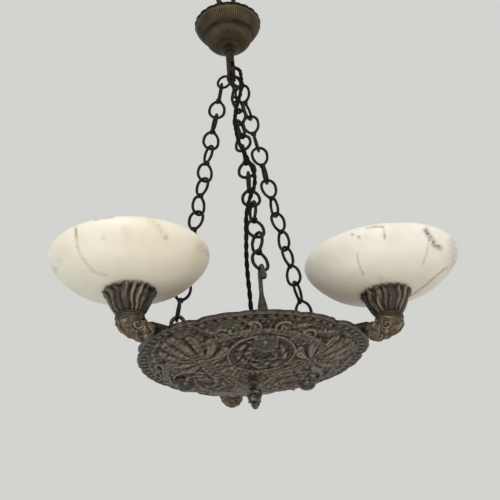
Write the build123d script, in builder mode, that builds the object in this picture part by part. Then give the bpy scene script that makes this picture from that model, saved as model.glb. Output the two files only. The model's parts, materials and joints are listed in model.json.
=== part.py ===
"""Three-light hanging lamp: alabaster bowls on cast bronze arms, a shallow relief dish and iron chains.

Origin: centre of the suspension eye. +Z is up, -Y is the front chain. Lengths are millimetres.
Heights named *_height are measured up from the dish's rim plane; everything else hangs from the eye.
"""
from build123d import *
from math import asin, atan2, cos, hypot, radians, sin, sqrt, tan
import os

os.makedirs("parts", exist_ok=True)

# ---------------------------------------------------------------- driving dimensions
# the hung height and the places round the centre line
dish_drop = 618.0              # eye centre down to the dish's rim plane
arm_places = {"left": 210.0, "right": 330.0, "rear": 90.0}
chain_places = {"front": 270.0, "left": 150.0, "right": 30.0}

# fits
running_fit = 0.3              # between pieces that turn, slide or hang on each other
thread_fit = 0.1               # between a thread and its nut or tapped hole
swing_room = 1.4               # round each top ring, so that the lamp can swing

# suspension eye
eye_bore_radius = 9.0
eye_wire = 7.0
eye_edge_round = 2.2
eye_boss_radius = 8.0
eye_boss_height = 20.0
eye_thread_depth = 10.0

# stem
stem_radius = 6.5
stem_wall = 1.5
stem_bottom_drop = 166.0       # eye centre to the stem's lower end
strap_height = 2.0             # turned-in lip left under the ring slots, which the rings hang on
flex_slot_width = 8.5
flex_slot_height = 17.0
flex_slot_place = 300.0
flex_slot_gap = 3.0            # wall left between the ring slots and the flex slot

# ceiling canopy
canopy_radius = 53.0
canopy_height = 50.0
canopy_wall = 1.6
canopy_rim_drop = 54.4
canopy_waist_radius = 37.0
canopy_waist_height = 28.0
canopy_flutes = 30
canopy_flute_depth = 0.9
collar_radius = 9.5
collar_height = 6.0
collar_screw_radius = 1.5
collar_screw_head_radius = 2.8
collar_screw_head = 2.0

# chains
top_ring_wire = 3.2
top_ring_radius = 10.5         # centre line
top_ring_hang_angle = 50.0     # where the first link rests, below level
link_wire = 4.0
link_loop_radius = 9.8         # centre line of the rounded end
link_count = 7
link_collar_radius = 3.7       # short collar round the crossing of the two eyes
link_collar_height = 7.0
link_twist = 90.0 / (link_count - 1)

# chain hooks
hook_crown_radius_out = 104.6  # distance of the crown from the centre line
hook_crown_height = 76.5
hook_wire = 5.5
hook_bend_radius = 9.5
hook_body_radius = 7.5
hook_body_top_height = 44.0
hook_waist_radius = 3.4
hook_foot_radius = 9.0
hook_tip_radius = 4.6
hook_tip_length = 12.0
hook_stud_radius = 3.0
hook_nut_radius = 12.5
hook_nut_height = 7.5
hook_boss_margin = 0.8         # cast boss over each nut

# dish
dish_radius = 148.0
dish_lobe_reach = 154.0
dish_lobe_half_angle = 24.0
dish_notch_radius = 5.0
dish_depth = 29.0
dish_wall = 3.2
dish_border = 13.0             # width of the band inside the rim
dish_border_step = 1.6
dish_border_drop = 5.0         # underside of the bowl of the dish where the band begins
dish_lip_width = 4.5
dish_lip_depth = 4.0           # lip, down from the rim plane
dish_pad_depth = 2.5           # cast pads under what stands on the floor
medallion_centre = 66.0
medallion_radius = 43.0
medallion_bead = 4.0
medallion_relief = 2.6         # bead's height over the dish's underside
dish_centre_hole_radius = 4.2

# finial and its nut
finial_length = 45.0
finial_knop_radius = 9.0
finial_berry_radius = 11.5
finial_berry_rows = 4
finial_stud_radius = 4.0
finial_stud_reach = 14.0
nut_height = 5.0
nut_across_flats = 14.0

# arms and cups
lamp_radius_out = 185.7        # centre line to each lamp's own axis
arm_tube_radius = 6.0
arm_bore_radius = 3.6
arm_bore_bend = 8.0
arm_socket_radius = 16.2
arm_socket_height = 9.7
arm_elbow_radius = 11.6
arm_elbow_out = 166.0
arm_rim_clearance = 0.5        # arm over the dish's lip
arm_foot_out = 108.0
arm_foot_length = 28.0
arm_foot_width = 22.0
arm_foot_thick = 4.0
arm_web_thick = 8.0
arm_screw_radius = 2.0
arm_screw_head_radius = 3.2
arm_screw_head = 2.0
arm_screw_spacing = 15.0
arm_screw_reach = 2.2
cup_height = 36.8
cup_mouth_radius = 29.3
cup_waist_radius = 15.0
cup_wall = 2.6
cup_floor = 3.0
cup_ribs = 18
cup_rib_depth = 1.3
astragal_radius = 1.9
astragal_rise = 0.4            # foot of the cup left plain below the astragal
nipple_radius = 5.0
nipple_bore_radius = 2.4
nipple_length = 18.0
cup_nut_height = 4.0

# lampholder and bulb
holder_radius = 14.0
holder_height = 44.0
holder_base = 7.0
holder_socket_radius = 8.0
holder_socket_depth = 25.0
holder_wire_hole_radius = 2.2
shade_ring_outer_radius = 21.0
shade_ring_height = 4.5
cap_radius = 6.9
cap_shoulder_gap = 0.6         # glass above the lampholder
cap_contact_radius = 3.4
bulb_radius = 22.5
bulb_neck_radius = 8.6
bulb_length = 53.0

# alabaster bowls
bowl_radius = 98.4
bowl_rim_height = 49.5         # rim above the cup's lip
bowl_wall = 9.0
bowl_foot_radius = 23.5
bowl_foot_depth = 2.6
bowl_hole_radius = 15.0
bowl_widest_drop = 7.0         # rim down to the widest circle

# flex and wiring
flex_diameter = 6.0
flex_stem_gap = 1.8            # stem to the hanging flex
flex_end_gap = 2.2             # between the two lengths of flex, so that the lamp can swing
wire_diameter = 3.2
block_length = 34.0
block_width = 20.0
block_height = 12.0
block_screw_radius = 2.0
block_offset = 24.0            # centre line to the block's middle


# ---------------------------------------------------------------- derived places
def radial_plane(place, distance=0.0):
    """Upright plane through the centre line: local x points outwards, local y up, y = 0 at the dish's rim."""
    outwards = (cos(radians(place)), sin(radians(place)), 0)
    sideways = (sin(radians(place)), -cos(radians(place)), 0)
    return Plane(
        origin=(distance * outwards[0], distance * outwards[1], -dish_drop), x_dir=outwards, z_dir=sideways
    )


def outward_plane(place, distance=0.0):
    """Upright plane that faces outwards: local y is the height above the dish's rim."""
    outwards = (cos(radians(place)), sin(radians(place)), 0)
    return Plane(
        origin=(distance * outwards[0], distance * outwards[1], -dish_drop),
        x_dir=(-outwards[1], outwards[0], 0),
        z_dir=outwards,
    )


def station(place, distance):
    """Place of a sub-part drawn on its own upright axis, with local x outwards and z = 0 at the dish's rim."""
    return Location((distance * cos(radians(place)), distance * sin(radians(place)), -dish_drop), (0, 0, place))


def level_plane(height):
    """Level plane at a height above the dish's rim."""
    return Plane.XY.offset(height - dish_drop)


stem_bottom = dish_drop - stem_bottom_drop
strap_middle = stem_bottom + strap_height / 2
stem_bore_radius = stem_radius - stem_wall
ring_wire_radius = top_ring_wire / 2
ring_inmost = ring_wire_radius * 2 / sqrt(3) + 0.15
ring_centre_out = top_ring_radius + ring_inmost
strap_bore_radius = ring_inmost + ring_wire_radius + running_fit
ring_slot_top = strap_middle + swing_room + sqrt(
    (top_ring_radius + ring_wire_radius) ** 2 - (ring_centre_out - stem_radius) ** 2
)
ring_slot_width = top_ring_wire + 2 * swing_room
flex_slot_bottom = ring_slot_top + flex_slot_gap

link_seat = top_ring_radius - ring_wire_radius - link_wire / 2 - running_fit
chain_top = (
    ring_centre_out + link_seat * cos(radians(top_ring_hang_angle)),
    strap_middle - link_seat * sin(radians(top_ring_hang_angle)),
)
chain_lean = atan2(hook_crown_radius_out - chain_top[0], chain_top[1] - hook_crown_height)
hook_seat = hook_wire / 2 + link_wire / 2 + running_fit
chain_end = (
    hook_crown_radius_out + hook_seat * sin(chain_lean),
    hook_crown_height - hook_seat * cos(chain_lean),
)
chain_length = hypot(chain_end[0] - chain_top[0], chain_top[1] - chain_end[1])
link_overlap = link_wire + running_fit
link_length = (chain_length + (link_count - 1) * link_overlap) / link_count

cup_lip_height = arm_socket_height + cup_height
bowl_seat_height = cup_lip_height + running_fit
cup_floor_top = arm_socket_height + cup_floor
holder_bottom = cup_floor_top + cup_nut_height
holder_top = holder_bottom + holder_height
bowl_floor_height = bowl_seat_height - bowl_foot_depth + bowl_wall
collar_top_drop = canopy_rim_drop + canopy_height
lobe_centre = (dish_lobe_reach**2 - dish_radius**2) / (
    2 * (dish_lobe_reach - dish_radius * cos(radians(dish_lobe_half_angle)))
)
lobe_radius = dish_lobe_reach - lobe_centre
outline_limit = dish_lobe_reach + 6.0


border_radius = dish_radius - dish_border
dish_rise = dish_depth - dish_border_drop
dish_sphere_radius = (border_radius**2 + dish_rise**2) / (2 * dish_rise)


def dish_underside(distance):
    """Height of the dish's underside at a distance from the centre, inside the border band."""
    return -dish_depth + dish_sphere_radius - sqrt(dish_sphere_radius**2 - distance**2)


def dish_floor(distance):
    """Height of the dish's inner floor at a distance from the centre."""
    return dish_underside(distance) + dish_wall


def finish(part, name):
    """Label a finished part and write it."""
    part.label = name
    export_step(part, f"parts/{name}.step")
    return part


# ---------------------------------------------------------------- suspension eye and stem
with BuildPart() as suspension_eye:
    with BuildSketch(Plane.XZ.offset(-eye_wire / 2)):
        Circle(eye_bore_radius + eye_wire)
        Circle(eye_bore_radius, mode=Mode.SUBTRACT)
    extrude(amount=eye_wire)
    fillet(suspension_eye.edges().filter_by(GeomType.CIRCLE), radius=eye_edge_round)
    with BuildSketch(Plane.XY.offset(-eye_bore_radius - eye_wire / 2)):
        Circle(eye_boss_radius)
    extrude(amount=-eye_boss_height, taper=-2)
    with BuildSketch(Plane.XY.offset(-eye_bore_radius - eye_wire / 2 - eye_boss_height)):
        Circle(stem_radius + thread_fit)
    extrude(amount=eye_thread_depth, mode=Mode.SUBTRACT)
    with BuildSketch(Plane.XY.offset(-eye_bore_radius - eye_wire / 2 - eye_boss_height)):
        Circle(flex_diameter / 2 + thread_fit)
    extrude(amount=eye_thread_depth + 4, mode=Mode.SUBTRACT)
finish(suspension_eye.part, "suspension_eye")

stem_top_drop = eye_bore_radius + eye_wire / 2 + eye_boss_height - eye_thread_depth
with BuildPart() as stem_tube:
    with BuildSketch(Plane.XY.offset(-stem_bottom_drop)):
        Circle(stem_radius)
        Circle(stem_bore_radius, mode=Mode.SUBTRACT)
    extrude(amount=stem_bottom_drop - stem_top_drop)
    with BuildSketch(Plane.XY.offset(-stem_bottom_drop)):
        Circle(stem_radius)
        Circle(strap_bore_radius, mode=Mode.SUBTRACT)
    extrude(amount=strap_height)
    for place in chain_places.values():
        slot_rise = ring_slot_top - stem_bottom - strap_height
        with BuildSketch(outward_plane(place)):
            with Locations((0, stem_bottom + strap_height + slot_rise / 2)):
                RectangleRounded(ring_slot_width, slot_rise, 0.8)
        extrude(amount=stem_radius + 2, mode=Mode.SUBTRACT)
    with BuildSketch(outward_plane(flex_slot_place)):
        with Locations((0, flex_slot_bottom + flex_slot_height / 2)):
            SlotOverall(flex_slot_height, flex_slot_width, rotation=90)
    extrude(amount=stem_radius + 2, mode=Mode.SUBTRACT)
finish(stem_tube.part, "stem_tube")

# ---------------------------------------------------------------- canopy and its collar
canopy_bottom_drop = canopy_rim_drop + canopy_height


def canopy_outline(inset):
    """Half section of the canopy, drawn from the rim down to the stem hole."""
    rim = (canopy_radius - inset, -canopy_rim_drop)
    lip = (canopy_radius - inset - 2.0, -canopy_rim_drop - 4.0)
    waist = (canopy_waist_radius - inset, -canopy_rim_drop - canopy_waist_height + inset)
    foot = (stem_radius + running_fit, -canopy_bottom_drop + inset)
    return rim, lip, waist, foot


with BuildPart() as canopy:
    with BuildSketch(Plane.XZ):
        with BuildLine():
            outer = canopy_outline(0)
            inner = canopy_outline(canopy_wall)
            Line(outer[0], outer[1])
            TangentArc(outer[1], outer[2], tangent=(-1, -0.35))
            ThreePointArc(
                outer[2],
                (canopy_waist_radius * 0.78, -canopy_rim_drop - canopy_height * 0.84),
                outer[3],
            )
            Line(outer[3], inner[3])
            ThreePointArc(
                inner[3],
                (canopy_waist_radius * 0.78 - canopy_wall * 0.7,
                 -canopy_rim_drop - canopy_height * 0.84 + canopy_wall * 0.7),
                inner[2],
            )
            TangentArc(inner[1], inner[2], tangent=(-1, -0.35))
            Line(inner[1], inner[0])
            Line(inner[0], outer[0])
        make_face()
    revolve(axis=Axis.Z)
    with BuildSketch(Plane.XY.offset(-canopy_rim_drop)):
        with PolarLocations(canopy_radius + canopy_flute_depth * 1.4, canopy_flutes):
            Circle(canopy_flute_depth * 2.6)
    extrude(amount=-canopy_waist_height * 0.2, mode=Mode.SUBTRACT)
finish(canopy.part, "canopy")

with BuildPart() as canopy_collar:
    with BuildSketch(Plane.XY.offset(-collar_top_drop - running_fit)):
        Circle(collar_radius)
        Circle(stem_radius + thread_fit, mode=Mode.SUBTRACT)
    extrude(amount=-collar_height)
    fillet(canopy_collar.faces().sort_by(Axis.Z)[0].outer_wire().edges(), radius=1.2)
    with BuildSketch(outward_plane(90)):
        with Locations((0, dish_drop - collar_top_drop - running_fit - collar_height / 2)):
            Circle(collar_screw_radius)
    extrude(amount=collar_radius + 2, mode=Mode.SUBTRACT)
finish(canopy_collar.part, "canopy_collar")

with BuildPart() as collar_screw:
    screw_level = dish_drop - collar_top_drop - running_fit - collar_height / 2
    with BuildSketch(outward_plane(90, stem_radius)):
        with Locations((0, screw_level)):
            Circle(collar_screw_radius - thread_fit)
    extrude(amount=collar_radius - stem_radius + 0.5)
    with BuildSketch(outward_plane(90, collar_radius + thread_fit)):
        with Locations((0, screw_level)):
            Circle(collar_screw_head_radius)
    extrude(amount=collar_screw_head)
finish(collar_screw.part, "collar_screw")

# ---------------------------------------------------------------- chains
loop_centre = link_length / 2 - link_loop_radius
leg_lean = asin(link_loop_radius / loop_centre)
leg_start = link_collar_height * 0.18
with BuildPart() as link_eye:
    with BuildLine(Plane.XZ) as half_eye:
        touch = (link_loop_radius * cos(leg_lean), loop_centre - link_loop_radius * sin(leg_lean))
        Line((leg_start * tan(leg_lean), leg_start), touch)
        TangentArc(touch, (0, loop_centre + link_loop_radius), tangent=touch)
    with BuildSketch(half_eye.line ^ 0):
        Circle(link_wire / 2)
    sweep(path=half_eye.line)
    mirror(about=Plane.YZ)

with BuildPart() as link:
    Cylinder(link_collar_radius, link_collar_height)
    add(link_eye.part)
    with Locations(Location((0, 0, 0), (180, 0, 90))):
        add(link_eye.part)


def chain_point(distance):
    """Point of a chain's centre line, as (out, height), at a distance below its first crown."""
    share = distance / chain_length
    return (
        chain_top[0] + share * (chain_end[0] - chain_top[0]),
        chain_top[1] + share * (chain_end[1] - chain_top[1]),
    )


def link_place(place, index):
    """Place of one link: local z runs up the chain, local x sideways, turned by the chain's slow twist."""
    middle = link_length / 2 + index * (link_length - link_overlap)
    out, height = chain_point(middle)
    frame = radial_plane(place)
    upwards = frame.from_local_coords(Vector(-sin(chain_lean), cos(chain_lean), 0)) - frame.origin
    plane = Plane(origin=frame.from_local_coords(Vector(out, height, 0)), x_dir=frame.z_dir, z_dir=upwards)
    return plane.location * Location((0, 0, 0), (0, 0, index * link_twist))


top_rings = {}
chains = {}
for side, place in chain_places.items():
    ring_middle = radial_plane(place).from_local_coords(Vector(ring_centre_out, strap_middle, 0))
    with BuildPart() as top_ring:
        with Locations(Plane(origin=ring_middle, z_dir=radial_plane(place).z_dir)):
            Torus(top_ring_radius, ring_wire_radius)
    top_rings[side] = finish(top_ring.part, f"top_ring_{side}")

    with BuildPart() as chain:
        with Locations(*[link_place(place, index) for index in range(link_count)]):
            add(link.part)
    chains[side] = finish(chain.part, f"chain_{side}")


# ---------------------------------------------------------------- dish
hook_body_out = hook_crown_radius_out - hook_bend_radius
hook_pad_radius = hook_foot_radius + 2.0
hook_pad_height = dish_floor(hook_body_out + hook_pad_radius) + 0.4
arm_pad_length = arm_foot_length + 6.0
arm_pad_width = arm_foot_width + 6.0
arm_pad_height = dish_floor(hypot(arm_foot_out + arm_pad_length / 2, arm_pad_width / 2)) + 0.4
centre_pad_radius = hypot(block_offset + block_width / 2, block_length / 2) + 4.0
centre_pad_height = dish_floor(centre_pad_radius) + 0.4
nut_seat_height = dish_underside(hook_body_out - hook_nut_radius) - 0.2
hook_boss_radius = hook_nut_radius + hook_boss_margin
hook_boss_top = dish_underside(hook_body_out + hook_boss_radius) + dish_wall / 2
medallion_sag = medallion_radius**2 / (2 * dish_sphere_radius)


def dish_outline():
    """Plan of the rim: a round dish with a wide lobe at each arm and a small notch at each lobe's ends."""
    Circle(dish_radius)
    for place in arm_places.values():
        with PolarLocations(lobe_centre, 1, start_angle=place):
            Circle(lobe_radius)
        for side in (-1, 1):
            with PolarLocations(dish_radius + dish_notch_radius * 0.6, 1,
                                start_angle=place + side * dish_lobe_half_angle):
                Circle(dish_notch_radius, mode=Mode.SUBTRACT)


with BuildPart() as dish:
    with BuildSketch(radial_plane(0)):
        with BuildLine():
            under_rim = (border_radius, -dish_border_drop)
            floor_rim = (border_radius, -dish_border_drop + dish_wall)
            ThreePointArc(
                (0, -dish_depth), (border_radius / 2, dish_underside(border_radius / 2)), under_rim
            )
            Line(under_rim, (border_radius, -dish_border_drop + dish_border_step))
            Line((border_radius, -dish_border_drop + dish_border_step), (outline_limit, -dish_lip_depth + 1))
            Line((outline_limit, -dish_lip_depth + 1), (outline_limit, -0.5))
            Line((outline_limit, -0.5), floor_rim)
            ThreePointArc(
                floor_rim, (border_radius / 2, dish_floor(border_radius / 2)), (0, dish_floor(0))
            )
            Line((0, dish_floor(0)), (0, -dish_depth))
        make_face()
    revolve(axis=Axis.Z)
    with BuildSketch(level_plane(-dish_depth - 5)):
        dish_outline()
    extrude(amount=dish_depth + 10, mode=Mode.INTERSECT)
    with BuildSketch(level_plane(-dish_lip_depth)):
        dish_outline()
        offset(amount=-dish_lip_width, mode=Mode.SUBTRACT)
    extrude(amount=dish_lip_depth)
    with BuildSketch(level_plane(centre_pad_height)):
        Circle(centre_pad_radius)
    extrude(amount=-dish_pad_depth)
    for place in chain_places.values():
        with BuildSketch(level_plane(hook_pad_height)):
            with PolarLocations(hook_body_out, 1, start_angle=place):
                Circle(hook_pad_radius)
        extrude(amount=-dish_pad_depth)
        with BuildSketch(level_plane(nut_seat_height)):
            with PolarLocations(hook_body_out, 1, start_angle=place):
                Circle(hook_boss_radius)
        extrude(amount=hook_boss_top - nut_seat_height, taper=-1)
        outer_side = radial_plane(place).from_local_coords(
            Vector(medallion_centre, dish_underside(medallion_centre), 0)
        )
        sphere_middle = Vector(0, 0, dish_sphere_radius - dish_depth - dish_drop)
        seat = Plane(origin=outer_side, x_dir=radial_plane(place).z_dir, z_dir=outer_side - sphere_middle)
        with BuildSketch(seat.offset(-medallion_sag - dish_wall / 2)):
            Circle(medallion_radius)
            Circle(medallion_radius - medallion_bead, mode=Mode.SUBTRACT)
        extrude(amount=dish_wall / 2 + medallion_relief)
    for place in arm_places.values():
        with BuildSketch(level_plane(arm_pad_height)):
            with PolarLocations(arm_foot_out, 1, start_angle=place):
                RectangleRounded(arm_pad_length, arm_pad_width, 5)
        extrude(amount=-dish_pad_depth)
    with BuildSketch(level_plane(-dish_depth - 1)):
        Circle(dish_centre_hole_radius)
        with PolarLocations(hook_body_out, 3, start_angle=chain_places["front"]):
            Circle(hook_stud_radius + thread_fit)
    extrude(amount=dish_depth + 2, mode=Mode.SUBTRACT)
    with BuildSketch(level_plane(arm_pad_height - arm_screw_reach - running_fit)):
        for place in arm_places.values():
            with PolarLocations(arm_foot_out, 1, start_angle=place):
                with GridLocations(0, arm_screw_spacing, 1, 2):
                    Circle(arm_screw_radius + thread_fit)
    extrude(amount=arm_screw_reach + 2, mode=Mode.SUBTRACT)
finish(dish.part, "dish")


# ---------------------------------------------------------------- chain hooks
stud_end_height = nut_seat_height - hook_nut_height / 2
bend_height = hook_crown_height - hook_bend_radius
with BuildPart() as hook_form:
    with BuildSketch(Plane.XZ):
        with BuildLine():
            Polyline(
                (0, hook_body_top_height),
                (0, stud_end_height),
                (hook_stud_radius, stud_end_height),
                (hook_stud_radius, hook_pad_height),
                (hook_foot_radius, hook_pad_height),
                (hook_foot_radius, hook_pad_height + 3),
            )
            Bezier(
                (hook_foot_radius, hook_pad_height + 3),
                (hook_foot_radius, hook_pad_height + 6),
                (hook_waist_radius, hook_pad_height + 6),
                (hook_waist_radius, hook_pad_height + 11),
            )
            Bezier(
                (hook_waist_radius, hook_pad_height + 11),
                (hook_waist_radius, hook_pad_height + 18),
                (hook_body_radius + 2, hook_pad_height + 24),
                (hook_body_radius, hook_pad_height + 34),
                (hook_wire / 2 + 0.8, hook_body_top_height - 8),
                (hook_wire / 2, hook_body_top_height),
            )
            Line((hook_wire / 2, hook_body_top_height), (0, hook_body_top_height))
        make_face()
    revolve(axis=Axis.Z)
    with BuildLine(Plane.XZ) as bend:
        Line((0, hook_body_top_height - 2), (0, bend_height))
        ThreePointArc(
            (0, bend_height), (hook_bend_radius, hook_crown_height), (2 * hook_bend_radius, bend_height)
        )
    with BuildSketch(bend.line ^ 0):
        Circle(hook_wire / 2)
    sweep(path=bend.line)

with BuildPart() as hook_tip:
    with BuildSketch(Plane.XZ):
        with BuildLine():
            Polyline(
                (0, bend_height - hook_tip_length),
                (0, bend_height),
                (hook_wire / 2, bend_height),
                (hook_tip_radius, bend_height - hook_tip_length * 0.45),
            )
            Bezier(
                (hook_tip_radius, bend_height - hook_tip_length * 0.45),
                (hook_tip_radius * 1.1, bend_height - hook_tip_length),
                (hook_tip_radius * 0.5, bend_height - hook_tip_length),
                (0, bend_height - hook_tip_length),
            )
        make_face()
    revolve(axis=Axis.Z)

for side, place in chain_places.items():
    with BuildPart() as hook:
        with Locations(station(place, hook_body_out)):
            add(hook_form.part)
        with Locations(station(place, hook_body_out + 2 * hook_bend_radius)):
            add(hook_tip.part)
    finish(hook.part, f"chain_hook_{side}")

with BuildPart() as nut_form:
    with BuildSketch(Plane.XZ):
        with BuildLine():
            Polyline(
                (0, nut_seat_height - hook_nut_height), (0, nut_seat_height), (hook_nut_radius, nut_seat_height)
            )
            Bezier(
                (hook_nut_radius, nut_seat_height),
                (hook_nut_radius, nut_seat_height - hook_nut_height * 0.65),
                (hook_nut_radius * 0.5, nut_seat_height - hook_nut_height),
                (0, nut_seat_height - hook_nut_height),
            )
        make_face()
    revolve(axis=Axis.Z)
    with BuildSketch(Plane.XY.offset(nut_seat_height)):
        Circle(hook_stud_radius + thread_fit)
    extrude(amount=-hook_nut_height / 2 - 1, mode=Mode.SUBTRACT)

with BuildPart() as hook_nuts:
    with Locations(*[station(place, hook_body_out) for place in chain_places.values()]):
        add(nut_form.part)
finish(hook_nuts.part, "hook_nuts")

# ---------------------------------------------------------------- finial and its nut
finial_top = -dish_depth
with BuildPart() as finial:
    with BuildSketch(radial_plane(0)):
        with BuildLine():
            stud_top = centre_pad_height + nut_height + 2
            Polyline(
                (0, stud_top),
                (finial_stud_radius, stud_top),
                (finial_stud_radius, finial_top),
                (finial_knop_radius + 3, finial_top),
            )
            Spline(
                (finial_knop_radius + 3, finial_top),
                (finial_knop_radius - 3.5, finial_top - 4),
                (finial_knop_radius, finial_top - 9),
                (finial_knop_radius - 4, finial_top - 14),
                (finial_berry_radius - 1, finial_top - 20),
                (finial_berry_radius, finial_top - 27),
                (finial_berry_radius * 0.6, finial_top - 38),
                (0, finial_top - finial_length),
            )
            Line((0, finial_top - finial_length), (0, stud_top))
        make_face()
    revolve(axis=Axis.Z)
finish(finial.part, "finial")

with BuildPart() as finial_nut:
    with BuildSketch(level_plane(centre_pad_height)):
        RegularPolygon(nut_across_flats / 2, 6, major_radius=False)
        Circle(finial_stud_radius + thread_fit, mode=Mode.SUBTRACT)
    extrude(amount=nut_height)
finish(finial_nut.part, "finial_nut")


# ---------------------------------------------------------------- arms
# arm outline is drawn on its own lamp axis: local x = out minus lamp_radius_out
arm_level = arm_tube_radius + arm_rim_clearance
arm_foot_top = arm_pad_height + arm_foot_thick
arm_inner_end = arm_foot_out - lamp_radius_out
arm_rim_x = dish_lobe_reach - lamp_radius_out
elbow_x = arm_elbow_out - lamp_radius_out
holder_bore_top = holder_bottom + holder_base
nipple_bottom = holder_bore_top - 1.0 - nipple_length

# each section: x, height, radius, and the lean of its normal above level
arm_sections = (
    (0, arm_socket_height, arm_socket_radius, 90),
    (-2.2, arm_socket_height - 5.1, 13.2, 70),
    (-6.0, 1.9, arm_elbow_radius - 1.2, 46),
    (-13.2, -0.1, arm_elbow_radius - 0.7, 22),
    (elbow_x, -0.2, arm_elbow_radius - 0.4, 0),
    (arm_rim_x + 6.2, 3.0, arm_tube_radius + 2.4, -8),
    (arm_rim_x + 1.5, arm_level + 0.6, arm_tube_radius + 0.5, -8),
    (arm_rim_x - 16, arm_level + 0.7, arm_tube_radius, 0),
    (arm_inner_end + 10, arm_level - 0.4, arm_tube_radius - 0.2, 8),
    (arm_inner_end, arm_level - 1.9, arm_tube_radius - 0.2, 8),
)
bore_points = (
    (0, -3.0),
    (elbow_x + 1.7, -2.0),
    (arm_rim_x - 1.3, arm_level + 0.7),
    (arm_inner_end + 10, arm_level - 0.4),
    (arm_inner_end - 4, arm_level - 4.0),
)
arm_faces = []
for pair in zip(arm_sections, arm_sections[1:]):
    with BuildPart() as arm_piece:
        for x, height, radius, lean in pair:
            normal = (cos(radians(lean)), 0, sin(radians(lean)))
            with BuildSketch(Plane(origin=(x, 0, height), x_dir=(0, 1, 0), z_dir=normal)):
                Circle(radius)
        loft(ruled=True)
    arm_faces += arm_piece.faces().filter_by(GeomType.PLANE, reverse=True)
    arm_ends = arm_piece.faces().filter_by(GeomType.PLANE)
    if pair[0] == arm_sections[0]:
        arm_faces.append(arm_ends.sort_by(Axis.Z)[-1])
    if pair[1] == arm_sections[-1]:
        arm_faces.append(arm_ends.sort_by(Axis.X)[0])
arm_casting = Solid(Shell(arm_faces))

with BuildPart() as arm_form:
    add(arm_casting)
    with BuildSketch(Plane.XZ):
        with Locations((arm_inner_end, (arm_pad_height + arm_foot_top) / 2)):
            Rectangle(arm_foot_length, arm_foot_thick)
        with Locations((arm_inner_end + arm_foot_length / 4, (arm_foot_top + arm_level) / 2 - 2)):
            Rectangle(arm_foot_length / 2, arm_level - arm_foot_top)
    extrude(amount=arm_web_thick / 2, both=True)
    with BuildSketch(Plane.XY.offset(arm_pad_height)):
        with Locations((arm_inner_end, 0)):
            RectangleRounded(arm_foot_length, arm_foot_width, 4)
    extrude(amount=arm_foot_thick)
    with BuildLine(Plane.XZ) as bore_path:
        FilletPolyline((0, arm_socket_height + 4), *bore_points, radius=arm_bore_bend)
    with BuildSketch(bore_path.line ^ 0):
        Circle(arm_bore_radius)
    sweep(path=bore_path.line, mode=Mode.SUBTRACT)
    with BuildSketch(Plane.XY.offset(arm_socket_height)):
        Circle(nipple_radius + thread_fit)
    extrude(amount=nipple_bottom - arm_socket_height, mode=Mode.SUBTRACT)
    with BuildSketch(Plane.XY.offset(arm_pad_height)):
        with Locations((arm_inner_end, 0)):
            with GridLocations(0, arm_screw_spacing, 1, 2):
                Circle(arm_screw_radius + thread_fit)
    extrude(amount=arm_foot_thick + 2, mode=Mode.SUBTRACT)

with BuildPart() as screw_form:
    with BuildSketch(Plane.XY.offset(arm_pad_height - arm_screw_reach)):
        Circle(arm_screw_radius)
    extrude(amount=arm_screw_reach + arm_foot_thick)
    with BuildSketch(Plane.XY.offset(arm_foot_top)):
        Circle(arm_screw_head_radius)
    extrude(amount=arm_screw_head)
    fillet(screw_form.faces().sort_by(Axis.Z)[-1].edges(), radius=arm_screw_head * 0.5)

with BuildPart() as arm_screws:
    for place in arm_places.values():
        with Locations(station(place, arm_foot_out)):
            with GridLocations(0, arm_screw_spacing, 1, 2):
                add(screw_form.part)
finish(arm_screws.part, "arm_screws")

# ---------------------------------------------------------------- cups, nipples and nuts
cup_line_top = arm_socket_height + cup_height * 0.66
astragal_bottom = arm_socket_height + astragal_rise
astragal_top = astragal_bottom + 2 * astragal_radius
rib_bottom_height = astragal_top + 1.5
with BuildPart() as cup_form:
    with BuildSketch(Plane.XZ):
        with BuildLine():
            Polyline(
                (nipple_radius + thread_fit, cup_floor_top),
                (nipple_radius + thread_fit, arm_socket_height),
                (cup_waist_radius, arm_socket_height),
                (cup_waist_radius, astragal_bottom),
            )
            Bezier(
                (cup_waist_radius, astragal_bottom),
                (cup_waist_radius + 1.35 * astragal_radius, astragal_bottom),
                (cup_waist_radius + 1.35 * astragal_radius, astragal_top),
                (cup_waist_radius, astragal_top),
            )
            Polyline(
                (cup_waist_radius, astragal_top),
                (cup_mouth_radius - 1.2, cup_line_top),
                (cup_mouth_radius, cup_lip_height - 5.5),
                (cup_mouth_radius - 0.8, cup_lip_height),
                (cup_mouth_radius - 0.8 - cup_wall, cup_lip_height),
                (cup_mouth_radius - 1.2 - cup_wall, cup_line_top),
                (cup_waist_radius - cup_wall + 1, cup_floor_top),
                (nipple_radius + thread_fit, cup_floor_top),
            )
        make_face()
    revolve(axis=Axis.Z)

with BuildPart() as rib_groove:
    for height, out, radius in (
        (rib_bottom_height, cup_waist_radius + 1.9, 0.9),
        (cup_line_top, cup_mouth_radius + 1.4, 2.6),
        (cup_lip_height + 1, cup_mouth_radius + 2.2, 3.4),
    ):
        with BuildSketch(Plane.XY.offset(height)):
            with Locations((out, 0)):
                Circle(radius)
    loft(ruled=True)

with BuildPart() as cup_fluted:
    add(cup_form.part)
    with PolarLocations(0, cup_ribs):
        add(rib_groove.part, mode=Mode.SUBTRACT)

with BuildPart() as nipple_form:
    with BuildSketch(Plane.XY.offset(nipple_bottom)):
        Circle(nipple_radius)
        Circle(nipple_bore_radius, mode=Mode.SUBTRACT)
    extrude(amount=nipple_length)

with BuildPart() as cup_nut_form:
    with BuildSketch(Plane.XY.offset(cup_floor_top)):
        RegularPolygon(nut_across_flats / 2, 6, major_radius=False)
        Circle(nipple_radius + thread_fit, mode=Mode.SUBTRACT)
    extrude(amount=cup_nut_height)

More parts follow.
